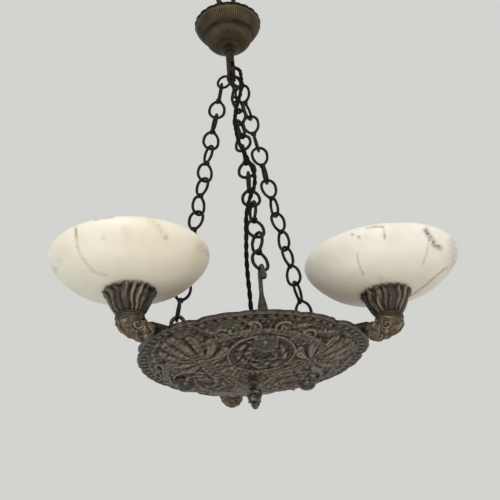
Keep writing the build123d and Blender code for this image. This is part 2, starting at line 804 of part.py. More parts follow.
# ---------------------------------------------------------------- lampholder, shade ring, bulb and bowl
socket_floor = holder_top - holder_socket_depth
bulb_base = holder_top + cap_shoulder_gap
bowl_rim = cup_lip_height + bowl_rim_height
with BuildPart() as holder_form:
    with BuildSketch(Plane.XZ):
        with BuildLine():
            Polyline(
                (nipple_radius + thread_fit, holder_bottom),
                (holder_radius - 4, holder_bottom),
                (holder_radius, holder_bottom + 5),
                (holder_radius, holder_top),
                (holder_socket_radius, holder_top),
                (holder_socket_radius, socket_floor),
                (holder_wire_hole_radius, socket_floor),
                (holder_wire_hole_radius, holder_bore_top),
                (nipple_radius + thread_fit, holder_bore_top),
                close=True,
            )
        make_face()
    revolve(axis=Axis.Z)

with BuildPart() as shade_ring_form:
    with BuildSketch(Plane.XY.offset(bowl_floor_height + running_fit)):
        Circle(shade_ring_outer_radius)
        Circle(holder_radius + thread_fit, mode=Mode.SUBTRACT)
    extrude(amount=shade_ring_height)
    fillet(shade_ring_form.faces().sort_by(Axis.Z)[-1].outer_wire().edges(), radius=1.5)

with BuildPart() as cap_form:
    with BuildSketch(Plane.XZ):
        with BuildLine():
            Polyline(
                (0, socket_floor + running_fit),
                (cap_contact_radius, socket_floor + running_fit),
                (cap_contact_radius, socket_floor + 2),
                (cap_radius, socket_floor + 5),
                (cap_radius, bulb_base),
                (0, bulb_base),
                close=True,
            )
        make_face()
    revolve(axis=Axis.Z)

bulb_middle = bulb_base + bulb_length - bulb_radius
with BuildPart() as bulb_form:
    with BuildSketch(Plane.XZ):
        with BuildLine():
            Line((0, bulb_base), (bulb_neck_radius, bulb_base))
            Spline(
                (bulb_neck_radius, bulb_base),
                (bulb_radius * 0.62, bulb_middle - bulb_radius * 0.9),
                (bulb_radius, bulb_middle),
                tangents=((0, 1), (0, 1)),
            )
            RadiusArc((bulb_radius, bulb_middle), (0, bulb_middle + bulb_radius), -bulb_radius)
            Line((0, bulb_middle + bulb_radius), (0, bulb_base))
        make_face()
    revolve(axis=Axis.Z)

bowl_foot_height = bowl_seat_height - bowl_foot_depth
with BuildPart() as bowl_form:
    with BuildSketch(Plane.XZ):
        with BuildLine():
            Polyline(
                (bowl_hole_radius, bowl_floor_height),
                (bowl_hole_radius, bowl_foot_height),
                (bowl_foot_radius, bowl_foot_height),
                (bowl_foot_radius, bowl_seat_height),
                (cup_mouth_radius, bowl_seat_height),
            )
            widest = (bowl_radius, bowl_rim - bowl_widest_drop)
            shoulder = (bowl_radius * 0.80, bowl_seat_height + bowl_rim_height * 0.36)
            lip = (bowl_radius - 4.0, bowl_rim)
            Spline((cup_mouth_radius, bowl_seat_height), shoulder, widest, tangents=((1, 0.16), (0, 1)))
            ThreePointArc(widest, (bowl_radius - 1.0, bowl_rim - 2.2), lip)
            lip_in = (bowl_radius - bowl_wall, bowl_rim - 1.5)
            ThreePointArc(lip, (bowl_radius - 6.5, bowl_rim + 0.2), lip_in)
            inner_shoulder = (bowl_radius * 0.72, bowl_floor_height + bowl_rim_height * 0.27)
            inner_floor = (bowl_foot_radius + 6, bowl_floor_height)
            Spline(lip_in, inner_shoulder, inner_floor, tangents=((-0.2, -1), (-1, 0)))
            Line(inner_floor, (bowl_hole_radius, bowl_floor_height))
        make_face()
    revolve(axis=Axis.Z)

lamp_forms = {
    "arm": arm_form,
    "cup": cup_fluted,
    "lampholder": holder_form,
    "shade_ring": shade_ring_form,
    "bulb_cap": cap_form,
    "bulb_glass": bulb_form,
    "alabaster_bowl": bowl_form,
}
for name, form in lamp_forms.items():
    for side, place in arm_places.items():
        with BuildPart() as placed:
            with Locations(station(place, lamp_radius_out)):
                add(form.part)
        finish(placed.part, f"{name}_{side}")

lamp_stations = [station(place, lamp_radius_out) for place in arm_places.values()]
with BuildPart() as cup_nipples:
    with Locations(*lamp_stations):
        add(nipple_form.part)
finish(cup_nipples.part, "cup_nipples")

with BuildPart() as cup_nuts:
    with Locations(*lamp_stations):
        add(cup_nut_form.part)
finish(cup_nuts.part, "cup_nuts")

# ---------------------------------------------------------------- terminal block
block_middle_height = centre_pad_height + block_height / 2
with BuildPart() as terminal_block:
    with BuildSketch(level_plane(centre_pad_height)):
        with Locations((0, -block_offset)):
            RectangleRounded(block_length, block_width, 1.5)
    extrude(amount=block_height)
    with BuildSketch(level_plane(centre_pad_height + block_height)):
        with Locations((0, -block_offset)):
            with GridLocations(block_length / 3, block_width / 2, 3, 2):
                Circle(block_screw_radius)
    extrude(amount=-block_height / 3, mode=Mode.SUBTRACT)
finish(terminal_block.part, "terminal_block")


# ---------------------------------------------------------------- flex and wires
def limp_radii(points):
    """Bend radii of a hanging cord: nearly half of the shorter run at each corner goes into the bend."""
    radii = []
    for before, corner, after in zip(points, points[1:], points[2:]):
        run_in = Vector(*corner) - Vector(*before)
        run_out = Vector(*after) - Vector(*corner)
        turn = radians(run_in.get_angle(run_out))
        radii.append(0.45 * min(run_in.length, run_out.length) / tan(turn / 2))
    return radii


def hung(points):
    """Route points with their heights taken from the dish's rim plane."""
    return [(x, y, height - dish_drop) for x, y, height in points]


flex_turn_height = flex_slot_bottom + flex_slot_height * 0.7
flex_way = (cos(radians(flex_slot_place)), sin(radians(flex_slot_place)))
flex_start_out = stem_radius + flex_stem_gap + flex_diameter / 2 * sin(radians(45))
flex_route = [
    (flex_start_out * flex_way[0], flex_start_out * flex_way[1], flex_turn_height - flex_start_out),
    (10, -21, 457),
    (9, -31, 438),
    (8, -37, 414),
    (2, -43, 385),
    (-8, -51, 355),
    (-11, -60, 320),
    (-10, -70, 288),
    (-3, -80, 258),
    (5, -88, 228),
    (4, -94, 203),
    (-6, -98, 180),
    (-13, -100, 152),
    (-15, -103, 122),
    (-17, -104, 95),
    (-17, -102, 68),
    (-15, -97, 42),
    (-13, -87, 20),
    (-7, -73, 2),
    (-3, -60, -9),
    (0, -47, block_middle_height),
    (0, -block_offset - block_width / 2, block_middle_height),
]
flex_radii = limp_radii(flex_route)
with BuildPart() as flex:
    with BuildLine() as flex_line:
        FilletPolyline(*hung(flex_route), radius=flex_radii)
    with BuildSketch(flex_line.line ^ 0):
        Circle(flex_diameter / 2)
    sweep(path=flex_line.line)
finish(flex.part, "flex")
print("flex radii", [round(radius, 1) for radius in flex_radii])
print("flex length", round(sum(edge.length for edge in flex_line.edges()), 1))
print("flex volume", round(flex.part.volume, 1))

flex_upper_bend = 3 * flex_diameter
flex_upper_out = flex_start_out - flex_end_gap * cos(radians(45))
with BuildPart() as flex_upper:
    with BuildLine() as flex_upper_line:
        flex_corner = (0, 0, flex_turn_height - dish_drop)
        flex_leave = (
            flex_way[0] * flex_upper_out, flex_way[1] * flex_upper_out, flex_corner[2] - flex_upper_out
        )
        FilletPolyline((0, 0, -stem_top_drop), flex_corner, flex_leave, radius=flex_upper_bend)
    with BuildSketch(flex_upper_line.line ^ 0):
        Circle(flex_diameter / 2)
    sweep(path=flex_upper_line.line)
finish(flex_upper.part, "flex_upper")

wire_inner_ends = {
    "left": ((-32.0, -block_offset), (-block_length / 2, -block_offset)),
    "right": ((32.0, -block_offset), (block_length / 2, -block_offset)),
    "rear": ((-7.0, 34.0), (-11.0, 12.0), (-11.0, -block_offset + block_width / 2)),
}
with BuildPart() as arm_wires:
    for side, place in arm_places.items():
        way = (cos(radians(place)), sin(radians(place)))
        out_points = [(lamp_radius_out + x, height) for x, height in ((0, socket_floor), *bore_points)]
        out_points += [(92.0, 1.8), (76.0, -8.0), (56.0, -15.0)]
        wire_route = [(way[0] * out, way[1] * out, height) for out, height in out_points]
        wire_route += [(x, y, block_middle_height) for x, y in wire_inner_ends[side]]
        wire_radii = [min(radius, arm_bore_bend) if index < 4 else radius
                      for index, radius in enumerate(limp_radii(wire_route))]
        with BuildLine() as wire_line:
            FilletPolyline(*hung(wire_route), radius=wire_radii)
        with BuildSketch(wire_line.line ^ 0):
            Circle(wire_diameter / 2)
        sweep(path=wire_line.line)
        print("wire", side, round(sum(edge.length for edge in wire_line.edges()), 1),
              [round(radius, 1) for radius in wire_radii])
finish(arm_wires.part, "arm_wires")
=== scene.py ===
"""Looks for a three-light hanging lamp: veined alabaster bowls, cast relief bronze and iron chains.

Lengths are millimetres until a mesh is made, heights count up from the dish's rim plane, and each
sub-assembly is a class that builds its own meshes on numpy grids and dresses them.
"""

import json
import logging
from dataclasses import dataclass, field
from enum import Enum
from math import atan2, cos, hypot, pi, radians, sin

import bmesh
import bpy
import numpy as np
from mathutils import Matrix, Vector

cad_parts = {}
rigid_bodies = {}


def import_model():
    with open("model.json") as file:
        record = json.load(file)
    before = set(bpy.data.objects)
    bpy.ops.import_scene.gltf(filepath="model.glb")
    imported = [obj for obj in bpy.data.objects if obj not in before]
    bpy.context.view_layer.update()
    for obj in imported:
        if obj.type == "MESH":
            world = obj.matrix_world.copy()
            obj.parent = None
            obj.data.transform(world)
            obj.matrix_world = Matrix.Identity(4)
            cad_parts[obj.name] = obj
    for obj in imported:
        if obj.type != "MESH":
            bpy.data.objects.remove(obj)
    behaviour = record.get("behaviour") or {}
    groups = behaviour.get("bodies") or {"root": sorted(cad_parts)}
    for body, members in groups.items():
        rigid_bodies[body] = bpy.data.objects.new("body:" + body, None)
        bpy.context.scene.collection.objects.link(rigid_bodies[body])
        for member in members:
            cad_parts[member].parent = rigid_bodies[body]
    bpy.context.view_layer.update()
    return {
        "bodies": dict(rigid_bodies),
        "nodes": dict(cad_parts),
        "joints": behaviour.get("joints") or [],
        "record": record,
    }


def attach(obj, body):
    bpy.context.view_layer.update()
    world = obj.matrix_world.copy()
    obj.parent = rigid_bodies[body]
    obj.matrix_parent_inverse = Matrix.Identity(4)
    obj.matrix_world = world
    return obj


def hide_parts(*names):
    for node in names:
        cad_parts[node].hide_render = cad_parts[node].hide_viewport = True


logging.basicConfig(level=logging.INFO, format="%(message)s")
LOG = logging.getLogger("lamp")

MM = 0.001
METRE = 1000
"""Millimetres in a metre."""
RIM_DROP = 618.0
"""Suspension eye down to the dish's rim plane."""
LAMP_OUT = 185.7
"""Centre line to each lamp's own axis."""
MERGE_DISTANCE = 2e-6
"""Points of a mesh closer than this, in metres, become one."""
SHORTEST_EDGE = 1e-8
"""Edges shorter than this, in metres, are dissolved."""
WAVE_RATE = 20
"""Phase of a wave texture per unit of its scaled coordinate."""


class Lamp(Enum):
    """The three lamps and their places round the centre line, in degrees."""

    LEFT = 210.0
    RIGHT = 330.0
    REAR = 90.0


class ChainSide(Enum):
    """The three chains and their places round the centre line, in degrees."""

    FRONT = 270.0
    LEFT = 150.0
    RIGHT = 30.0


@dataclass(frozen=True)
class View:
    """The photograph's camera: where it stands, its three turns and its focal length in pixels."""

    place: tuple[float, float, float] = (-0.198048, -1.051311, -1.023138)
    yaw: float = 0.194
    pitch: float = 0.482
    roll: float = -0.076
    focal: float = 870.372
    frame: float = 500.0

    def axes(self) -> np.ndarray:
        """Rows for right, up and forward: yaw from +Y, pitch up, then roll about the line of sight."""
        forward = np.array([sin(self.yaw) * cos(self.pitch), cos(self.yaw) * cos(self.pitch),
                            sin(self.pitch)])
        level = np.array([cos(self.yaw), -sin(self.yaw), 0.0])
        upward = np.cross(level, forward)
        return np.stack([cos(self.roll) * level + sin(self.roll) * upward,
                         cos(self.roll) * upward - sin(self.roll) * level, forward])

    def pixels(self, points: np.ndarray) -> np.ndarray:
        """Project points onto the picture.

        Args:
            points: Coordinates in millimetres, heights over the rim plane.

        Returns:
            Column and row of each point in pixels.
        """
        away = points * MM + np.array([0, 0, -RIM_DROP * MM]) - np.array(self.place)
        right, up, ahead = (away @ axis for axis in self.axes())
        middle = self.frame / 2
        return np.stack([middle + self.focal * right / ahead, middle - self.focal * up / ahead], -1)


VIEW = View()


# ---------------------------------------------------------------- numpy helpers
def bump(value: np.ndarray, width: float) -> np.ndarray:
    """Bell curve: exp(-(value / width) squared)."""
    return np.exp(-((value / width) ** 2))


def window(value: np.ndarray, low: float, high: float, soft: float) -> np.ndarray:
    """One between low and high, falling to zero over a soft edge on each side.

    Args:
        value: Where to sample.
        low: Lower edge.
        high: Upper edge.
        soft: Width of each edge.

    Returns:
        The product of two logistic steps.
    """
    rise = 1 / (1 + np.exp(-np.clip((value - low) / soft * 4, -40, 40)))
    fall = 1 / (1 + np.exp(np.clip((value - high) / soft * 4, -40, 40)))
    return rise * fall


def ripple(x: np.ndarray, y: np.ndarray, seed: int, size: float, octaves: int = 3) -> np.ndarray:
    """Smooth seeded unevenness: a sum of sines along random directions, each octave half the size.

    Args:
        x: First coordinate.
        y: Second coordinate.
        seed: Seed of the directions and phases.
        size: Wavelength of the first octave.
        octaves: How many octaves.

    Returns:
        Values of about -1 to 1.
    """
    rng = np.random.default_rng(seed)
    total = np.zeros_like(x)
    weight = 0.0
    for octave in range(octaves):
        scale = 2 * pi / (size / 2**octave)
        for _ in range(4):
            angle, phase = rng.uniform(0, 2 * pi, 2)
            turn = rng.uniform(0.7, 1.3)
            total += np.sin(scale * turn * (x * cos(angle) + y * sin(angle)) + phase) / 2**octave
        weight += 2.0 / 2**octave
    return total / weight


def grid_faces(rows: int, columns: int, wrap_rows: bool, wrap_columns: bool) -> np.ndarray:
    """Quads of a grid whose vertex number is row * columns + column.

    Args:
        rows: Number of rows.
        columns: Number of columns.
        wrap_rows: Whether the last row joins the first.
        wrap_columns: Whether the last column joins the first.

    Returns:
        An array of four vertex numbers per quad.
    """
    i = np.arange(rows if wrap_rows else rows - 1)
    j = np.arange(columns if wrap_columns else columns - 1)
    i, j = np.meshgrid(i, j, indexing="ij")
    i1, j1 = (i + 1) % rows, (j + 1) % columns
    quads = np.stack([i * columns + j, i * columns + j1, i1 * columns + j1, i1 * columns + j], -1)
    return quads.reshape(-1, 4)


@dataclass
class Soup:
    """Points and polygons gathered before they become one mesh."""

    points: list[np.ndarray] = field(default_factory=list)
    faces: list[np.ndarray] = field(default_factory=list)
    values: list[np.ndarray] = field(default_factory=list)
    count: int = 0

    def add(self, points: np.ndarray, faces: np.ndarray, value: np.ndarray | float = 0.5) -> None:
        """Add one patch.

        Args:
            points: Coordinates, three per point.
            faces: Point numbers within the patch.
            value: Colour level of each point, kept as the relief attribute: on bronze, painted shade near 0
                and painted highlight near 1; on alabaster, vein share.
        """
        points = points.reshape(-1, 3)
        self.points.append(points)
        self.faces.append(faces + self.count)
        self.values.append(np.broadcast_to(np.asarray(value, float).reshape(-1), (len(points),)))
        self.count += len(points)

    def grid(self, points: np.ndarray, wrap_rows: bool = False, wrap_columns: bool = True,
             value: np.ndarray | float = 0.5, flip: bool = False) -> None:
        """Add a grid patch.

        Args:
            points: Coordinates shaped (rows, columns, 3).
            wrap_rows: Whether the last row joins the first.
            wrap_columns: Whether the last column joins the first.
            value: Colour level of each point, as in add.
            flip: Whether to turn the faces over.
        """
        faces = grid_faces(points.shape[0], points.shape[1], wrap_rows, wrap_columns)
        self.add(points, faces[:, ::-1] if flip else faces, value)

    def object(self, name: str) -> bpy.types.Object:
        """Make the object, with doubles merged, normals outward and shading smooth.

        Args:
            name: Name of the object.

        Returns:
            An object at the origin with its place in its mesh and a float attribute named relief.
        """
        points = np.concatenate(self.points) * MM
        points[:, 2] -= RIM_DROP * MM
        mesh = bpy.data.meshes.new(name)
        mesh.from_pydata(points, [], [tuple(f) for patch in self.faces for f in patch.tolist()])
        relief = mesh.attributes.new("relief", "FLOAT", "POINT")
        relief.data.foreach_set("value", np.concatenate(self.values).astype(np.float32))
        self.close(mesh)
        mesh.shade_smooth()
        made = bpy.data.objects.new(name, mesh)
        bpy.context.scene.collection.objects.link(made)
        return made

    @staticmethod
    def close(mesh: bpy.types.Mesh) -> None:
        """Merge points that meet at seams and poles, and turn every face outwards."""
        shell = bmesh.new()
        shell.from_mesh(mesh)
        bmesh.ops.remove_doubles(shell, verts=shell.verts, dist=MERGE_DISTANCE)
        bmesh.ops.dissolve_degenerate(shell, edges=shell.edges, dist=SHORTEST_EDGE)
        bmesh.ops.recalc_face_normals(shell, faces=shell.faces)
        shell.to_mesh(mesh)
        shell.free()


def outward(grid: np.ndarray) -> np.ndarray:
    """Unit normals of a lathed grid, from the cross product of its two gradients."""
    across = np.roll(grid, -1, 1) - np.roll(grid, 1, 1)
    normal = np.cross(across, np.gradient(grid, axis=0))
    return normal / np.maximum(np.linalg.norm(normal, axis=-1, keepdims=True), 1e-9)


def softened(values: np.ndarray, rounds: int) -> np.ndarray:
    """Average a polar grid with its neighbours, to take spikes off it or to tell hollows from ridges.

    Args:
        values: One value per row and column; columns run round.
        rounds: How many times to average.

    Returns:
        The averaged grid.
    """
    for _ in range(rounds):
        inner = np.concatenate([values[:1], values[:-1]])
        outer = np.concatenate([values[1:], values[-1:]])
        values = (4 * values + np.roll(values, 1, 1) + np.roll(values, -1, 1) + inner + outer) / 8
    return values


def lathe(profile: np.ndarray, sides: int) -> np.ndarray:
    """Turn a profile of (radius, height) rows about the upright axis.

    Args:
        profile: Rows of radius and height.
        sides: Points round each ring.

    Returns:
        A grid shaped (rows, sides, 3).
    """
    angle = np.linspace(0, 2 * pi, sides, endpoint=False)
    radius, height = profile[:, :1], profile[:, 1:2]
    return np.stack([radius * np.cos(angle), radius * np.sin(angle), height + 0 * angle], -1)


def smooth_profile(points: list[tuple[float, float]], count: int) -> np.ndarray:
    """Even samples along a Catmull-Rom curve through the given points.

    Args:
        points: Points that the curve passes through.
        count: How many samples.

    Returns:
        Rows of the sampled coordinates.
    """
    p = np.asarray(points, float)
    padded = np.vstack([2 * p[0] - p[1], p, 2 * p[-1] - p[-2]])
    t = np.linspace(0, len(p) - 1 - 1e-9, count)
    k = t.astype(int)
    u = (t - k)[:, None]
    a, b, c, d = padded[k], padded[k + 1], padded[k + 2], padded[k + 3]
    linear_part, square, cube = c - a, 2 * a - 5 * b + 4 * c - d, 3 * b - a - 3 * c + d
    return 0.5 * (2 * b + linear_part * u + square * u**2 + cube * u**3)


def tube(path: np.ndarray, radius: np.ndarray, sides: int, closed: bool) -> tuple[np.ndarray, np.ndarray]:
    """Carry a circle along a path on frames that turn as little as possible.

    Args:
        path: Points of the centre line.
        radius: Radius at each point.
        sides: Points round the circle.
        closed: Whether the path is a loop.

    Returns:
        The grid of points and the unit normal at each.
    """
    ahead = np.roll(path, -1, 0) - np.roll(path, 1, 0)
    if not closed:
        ahead[0], ahead[-1] = path[1] - path[0], path[-1] - path[-2]
    ahead /= np.linalg.norm(ahead, axis=1)[:, None]
    side = np.cross(ahead[0], [0.31, 0.83, 0.46])
    sides_at = []
    for direction in ahead:
        side = side - direction * side.dot(direction)
        side = side / np.linalg.norm(side)
        sides_at.append(side)
    first = np.array(sides_at)
    second = np.cross(ahead, first)
    if closed:
        end = first[-1] - ahead[0] * first[-1].dot(ahead[0])
        slip = atan2(end.dot(second[0]), end.dot(first[0]))
        turn = -slip * np.linspace(0, 1, len(path))[:, None]
        first, second = (first * np.cos(turn) + second * np.sin(turn),
                         second * np.cos(turn) - first * np.sin(turn))
    angle = np.linspace(0, 2 * pi, sides, endpoint=False)[None, :, None]
    normal = first[:, None] * np.cos(angle) + second[:, None] * np.sin(angle)
    return path[:, None] + normal * np.asarray(radius, float).reshape(-1, 1, 1), normal


def local(x: np.ndarray, y: np.ndarray, place: float, out: float = 0.0) -> tuple[np.ndarray, np.ndarray]:
    """Coordinates along and across a direction from the centre line.

    Args:
        x: First coordinate.
        y: Second coordinate.
        place: The direction, as an angle in degrees.
        out: How far out the origin of the new coordinates lies.

    Returns:
        Distance along the direction and distance across it.
    """
    a = radians(place)
    return x * cos(a) + y * sin(a) - out, -x * sin(a) + y * cos(a)


def degrees_from(angle: np.ndarray, place: float) -> np.ndarray:
    """Degrees from a place round the centre line, from -180 to 180."""
    return np.degrees(np.angle(np.exp(1j * (angle - radians(place)))))


def placed(points: np.ndarray, place: float, distance: float) -> np.ndarray:
    """Turn points about the upright axis to a place and move them outwards.

    Args:
        points: Coordinates whose x points outwards.
        place: Angle round the centre line in degrees.
        distance: How far out.

    Returns:
        The moved coordinates.
    """
    c, s = cos(radians(place)), sin(radians(place))
    x, y = points[..., 0] + distance, points[..., 1]
    return np.stack([x * c - y * s, x * s + y * c, points[..., 2]], -1)


# ---------------------------------------------------------------- finishes
def linear(code: str) -> tuple[float, float, float, float]:
    """Turn an sRGB hex colour into linear values.

    Args:
        code: Colour such as "#6b5f54".

    Returns:
        Red, green, blue and an alpha of one.
    """
    parts = [int(code[i:i + 2], 16) / 255 for i in (1, 3, 5)]
    values = [p / 12.92 if p <= 0.04045 else ((p + 0.055) / 1.055) ** 2.4 for p in parts]
    return values[0], values[1], values[2], 1.0


class Nodes:
    """A material's node tree, with one call that adds a node, sets it and links it."""

    def __init__(self, name: str) -> None:
        """Start an empty material.

        Args:
            name: Material's name.
        """
        self.material = bpy.data.materials.new(name)
        self.material.use_nodes = True
        self.tree = self.material.node_tree
        self.tree.nodes.clear()
        self.output = self.tree.nodes.new("ShaderNodeOutputMaterial")

    def add(self, kind: str, settings: dict | None = None, **inputs: object) -> bpy.types.Node:
        """Add a node.

        Args:
            kind: Node type without its ShaderNode prefix.
            settings: Properties of the node.
            **inputs: Socket values, or (node, socket) pairs to link; _ in a name stands for a space, and a
                leading i with a number picks a socket by its place.

        Returns:
            The new node.
        """
        node = self.tree.nodes.new("ShaderNode" + kind)
        for key, value in (settings or {}).items():
            setattr(node, key, value)
        for key, value in inputs.items():
            place = int(key[1:]) if key[0] == "i" and key[1:].isdigit() else key.replace("_", " ")
            socket = node.inputs[place]
            if isinstance(value, tuple) and value and isinstance(value[0], bpy.types.Node):
                self.tree.links.new(value[0].outputs[value[1]], socket)
            else:
                socket.default_value = value
        return node

    def noise(self, where: tuple, size_mm: float, detail: float, **more: float) -> bpy.types.Node:
        """Add a noise.

        Args:
            where: Node and socket of its coordinates.
            size_mm: Size of its broadest features.
            detail: How many finer octaves it has.
            **more: Other socket values.

        Returns:
            The noise node.
        """
        return self.add("TexNoise", Vector=where, Scale=METRE / size_mm, Detail=detail, **more)

    def remap(self, source: tuple, low: float, high: float, to_low: float, to_high: float) -> tuple:
        """Stretch values from one range onto another.

        Args:
            source: Node and socket of the values.
            low: Lower end of their range.
            high: Upper end of their range.
            to_low: What low becomes.
            to_high: What high becomes.

        Returns:
            The node and the socket with the result.
        """
        node = self.add("MapRange", Value=source, From_Min=low, From_Max=high, To_Min=to_low, To_Max=to_high)
        return node, "Result"

    def math(self, operation: str, first: object, second: object) -> tuple:
        """Add a sum of two values or sockets, and hand back the socket with the result."""
        return self.add("Math", {"operation": operation}, i0=first, i1=second), 0

    def mix(self, share: tuple, base: tuple, code: str) -> tuple:
        """Mix a hex colour over a base by a share, and hand back the colour's socket."""
        return self.add("MixRGB", Fac=share, Color1=base, Color2=linear(code)), "Color"

    def raised(self, height: tuple, strength: float, distance: float) -> tuple:
        """Turn a height into a bumped normal, and hand back its socket."""
        return self.add("Bump", Strength=strength, Distance=distance, Height=height), "Normal"

    def ramp(self, source: tuple, stops: list[tuple[float, str]]) -> bpy.types.Node:
        """Add a colour ramp.

        Args:
            source: Node and socket that drive it.
            stops: Places and hex colours.

        Returns:
            The ramp node.
        """
        node = self.add("ValToRGB", Fac=source)
        elements = node.color_ramp.elements
        while len(elements) < len(stops):
            elements.new(0.5)
        for element, (place, code) in zip(elements, stops):
            element.position = place
            element.color = linear(code)
        return node

    def finish(self, shader: bpy.types.Node) -> bpy.types.Material:
        """Join the shader to the output and hand back the material."""
        self.tree.links.new(shader.outputs[0], self.output.inputs["Surface"])
        return self.material


@dataclass(frozen=True)
class CastBronze:
    """Cast bronze with a brown patina: dull, dark in the hollows from patina and painted shade, paler on the
    ridges from rubbing and painted highlight.
    """

    name: str
    hollow_patina_and_shade: str
    body: str
    ridge_wear_and_highlight: str
    patina: str = "#5d6a58"
    patina_share: float = 0.25
    metallic: float = 0.55
    roughness: float = 0.5
    grain_mm: float = 2.2
    patina_mm: float = 22.0
    mottle_mm: float = 6.0
    mottle_shift: float = 0.22
    relief_low: float = 0.12
    relief_high: float = 0.88
    carved: bool = True

    def material(self) -> bpy.types.Material:
        """Colour follows the piece's relief attribute, which holds painted shade in the hollows and painted
        highlight on the ridges, broken up by patina and sand-cast grain.
        """
        n = Nodes(self.name)
        place = (n.add("TexCoord"), "Object")
        relief = n.add("Attribute", {"attribute_name": "relief"}) if self.carved else None
        patches = n.noise(place, self.patina_mm, 5.0, Roughness=0.6)
        mottle = n.noise(place, self.mottle_mm, 4.0, Roughness=0.65)
        shift = n.remap((mottle, "Fac"), 0.3, 0.7, -self.mottle_shift, self.mottle_shift)
        level = n.math("ADD", (relief, "Fac") if relief else 0.5, shift)
        # Ramp from the hollow colour (patina with painted shade) through the body to the ridge colour (rubbed
        # metal with painted highlight).
        colour = n.ramp(level, [(self.relief_low, self.hollow_patina_and_shade), (0.5, self.body),
                                (self.relief_high, self.ridge_wear_and_highlight)])
        spots = n.remap((patches, "Fac"), 0.56, 0.7, 0.0, self.patina_share)
        mixed = n.mix(spots, (colour, "Color"), self.patina)
        grain = n.noise(place, self.grain_mm, 4.0)
        rough = n.remap((mottle, "Fac"), 0.0, 1.0, self.roughness - 0.08, self.roughness + 0.16)
        shader = n.add("BsdfPrincipled", Base_Color=mixed, Metallic=self.metallic, Roughness=rough,
                       Normal=n.raised((grain, "Fac"), 0.3, 0.0005))
        return n.finish(shader)


@dataclass(frozen=True)
class SpunBrass:
    """Spun brass gone brown: faint turning lines round the upright axis and green specks."""

    name: str
    dark: str
    light: str
    specks: str = "#6f8f84"
    tone_mm: float = 18.0
    speck_mm: float = 3.2
    line_mm: float = 1.6
    roughness: float = 0.38

    def material(self) -> bpy.types.Material:
        """Turning lines run round the axis; verdigris sits in scattered specks."""
        n = Nodes(self.name)
        place = (n.add("TexCoord"), "Object")
        relief = n.add("Attribute", {"attribute_name": "relief"})
        tone = n.noise(place, self.tone_mm, 6.0, Roughness=0.6)
        level = n.add("Math", {"operation": "MULTIPLY_ADD"}, i0=(tone, "Fac"), i1=0.8, i2=-0.4)
        # Ramp from dark to light by the relief attribute, which holds painted shade and painted highlight,
        # plus the tone noise.
        colour = n.ramp(n.math("ADD", (relief, "Fac"), (level, 0)), [(0.1, self.dark), (0.85, self.light)])
        speck = n.noise(place, self.speck_mm, 3.0)
        mixed = n.mix(n.remap((speck, "Fac"), 0.7, 0.78, 0.0, 0.6), (colour, "Color"), self.specks)
        lines = n.add("TexWave", {"wave_type": "RINGS", "rings_direction": "Z"}, Vector=place,
                      Scale=METRE / self.line_mm / WAVE_RATE, Distortion=0.6, Detail=2.0)
        rough = n.remap((tone, "Fac"), 0.0, 1.0, self.roughness - 0.1, self.roughness + 0.2)
        shader = n.add("BsdfPrincipled", Base_Color=mixed, Metallic=0.75, Roughness=rough,
                       Normal=n.raised((lines, "Fac"), 0.12, 0.0003))
        return n.finish(shader)


@dataclass(frozen=True)
class BlackIron:
    """Hand-worked iron wire, blackened with oil: nearly black, uneven, with brown rust in patches."""

    name: str
    black: str = "#0b0908"
    brown: str = "#1d1711"
    rust_mm: float = 14.0
    hammer_mm: float = 3.0

    def material(self) -> bpy.types.Material:
        """Hammered unevenness in the bump, brown in broad patches."""
        n = Nodes(self.name)
        place = (n.add("TexCoord"), "Object")
        patches = n.noise(place, self.rust_mm, 5.0)
        colour = n.ramp((patches, "Fac"), [(0.38, self.black), (0.68, self.brown)])
        hammer = n.noise(place, self.hammer_mm, 3.0)
        shader = n.add("BsdfPrincipled", Base_Color=(colour, "Color"), Metallic=0.2, Specular_IOR_Level=0.3,
                       Roughness=n.remap((hammer, "Fac"), 0.0, 1.0, 0.45, 0.7),
                       Normal=n.raised((hammer, "Fac"), 0.5, 0.0006))
        return n.finish(shader)


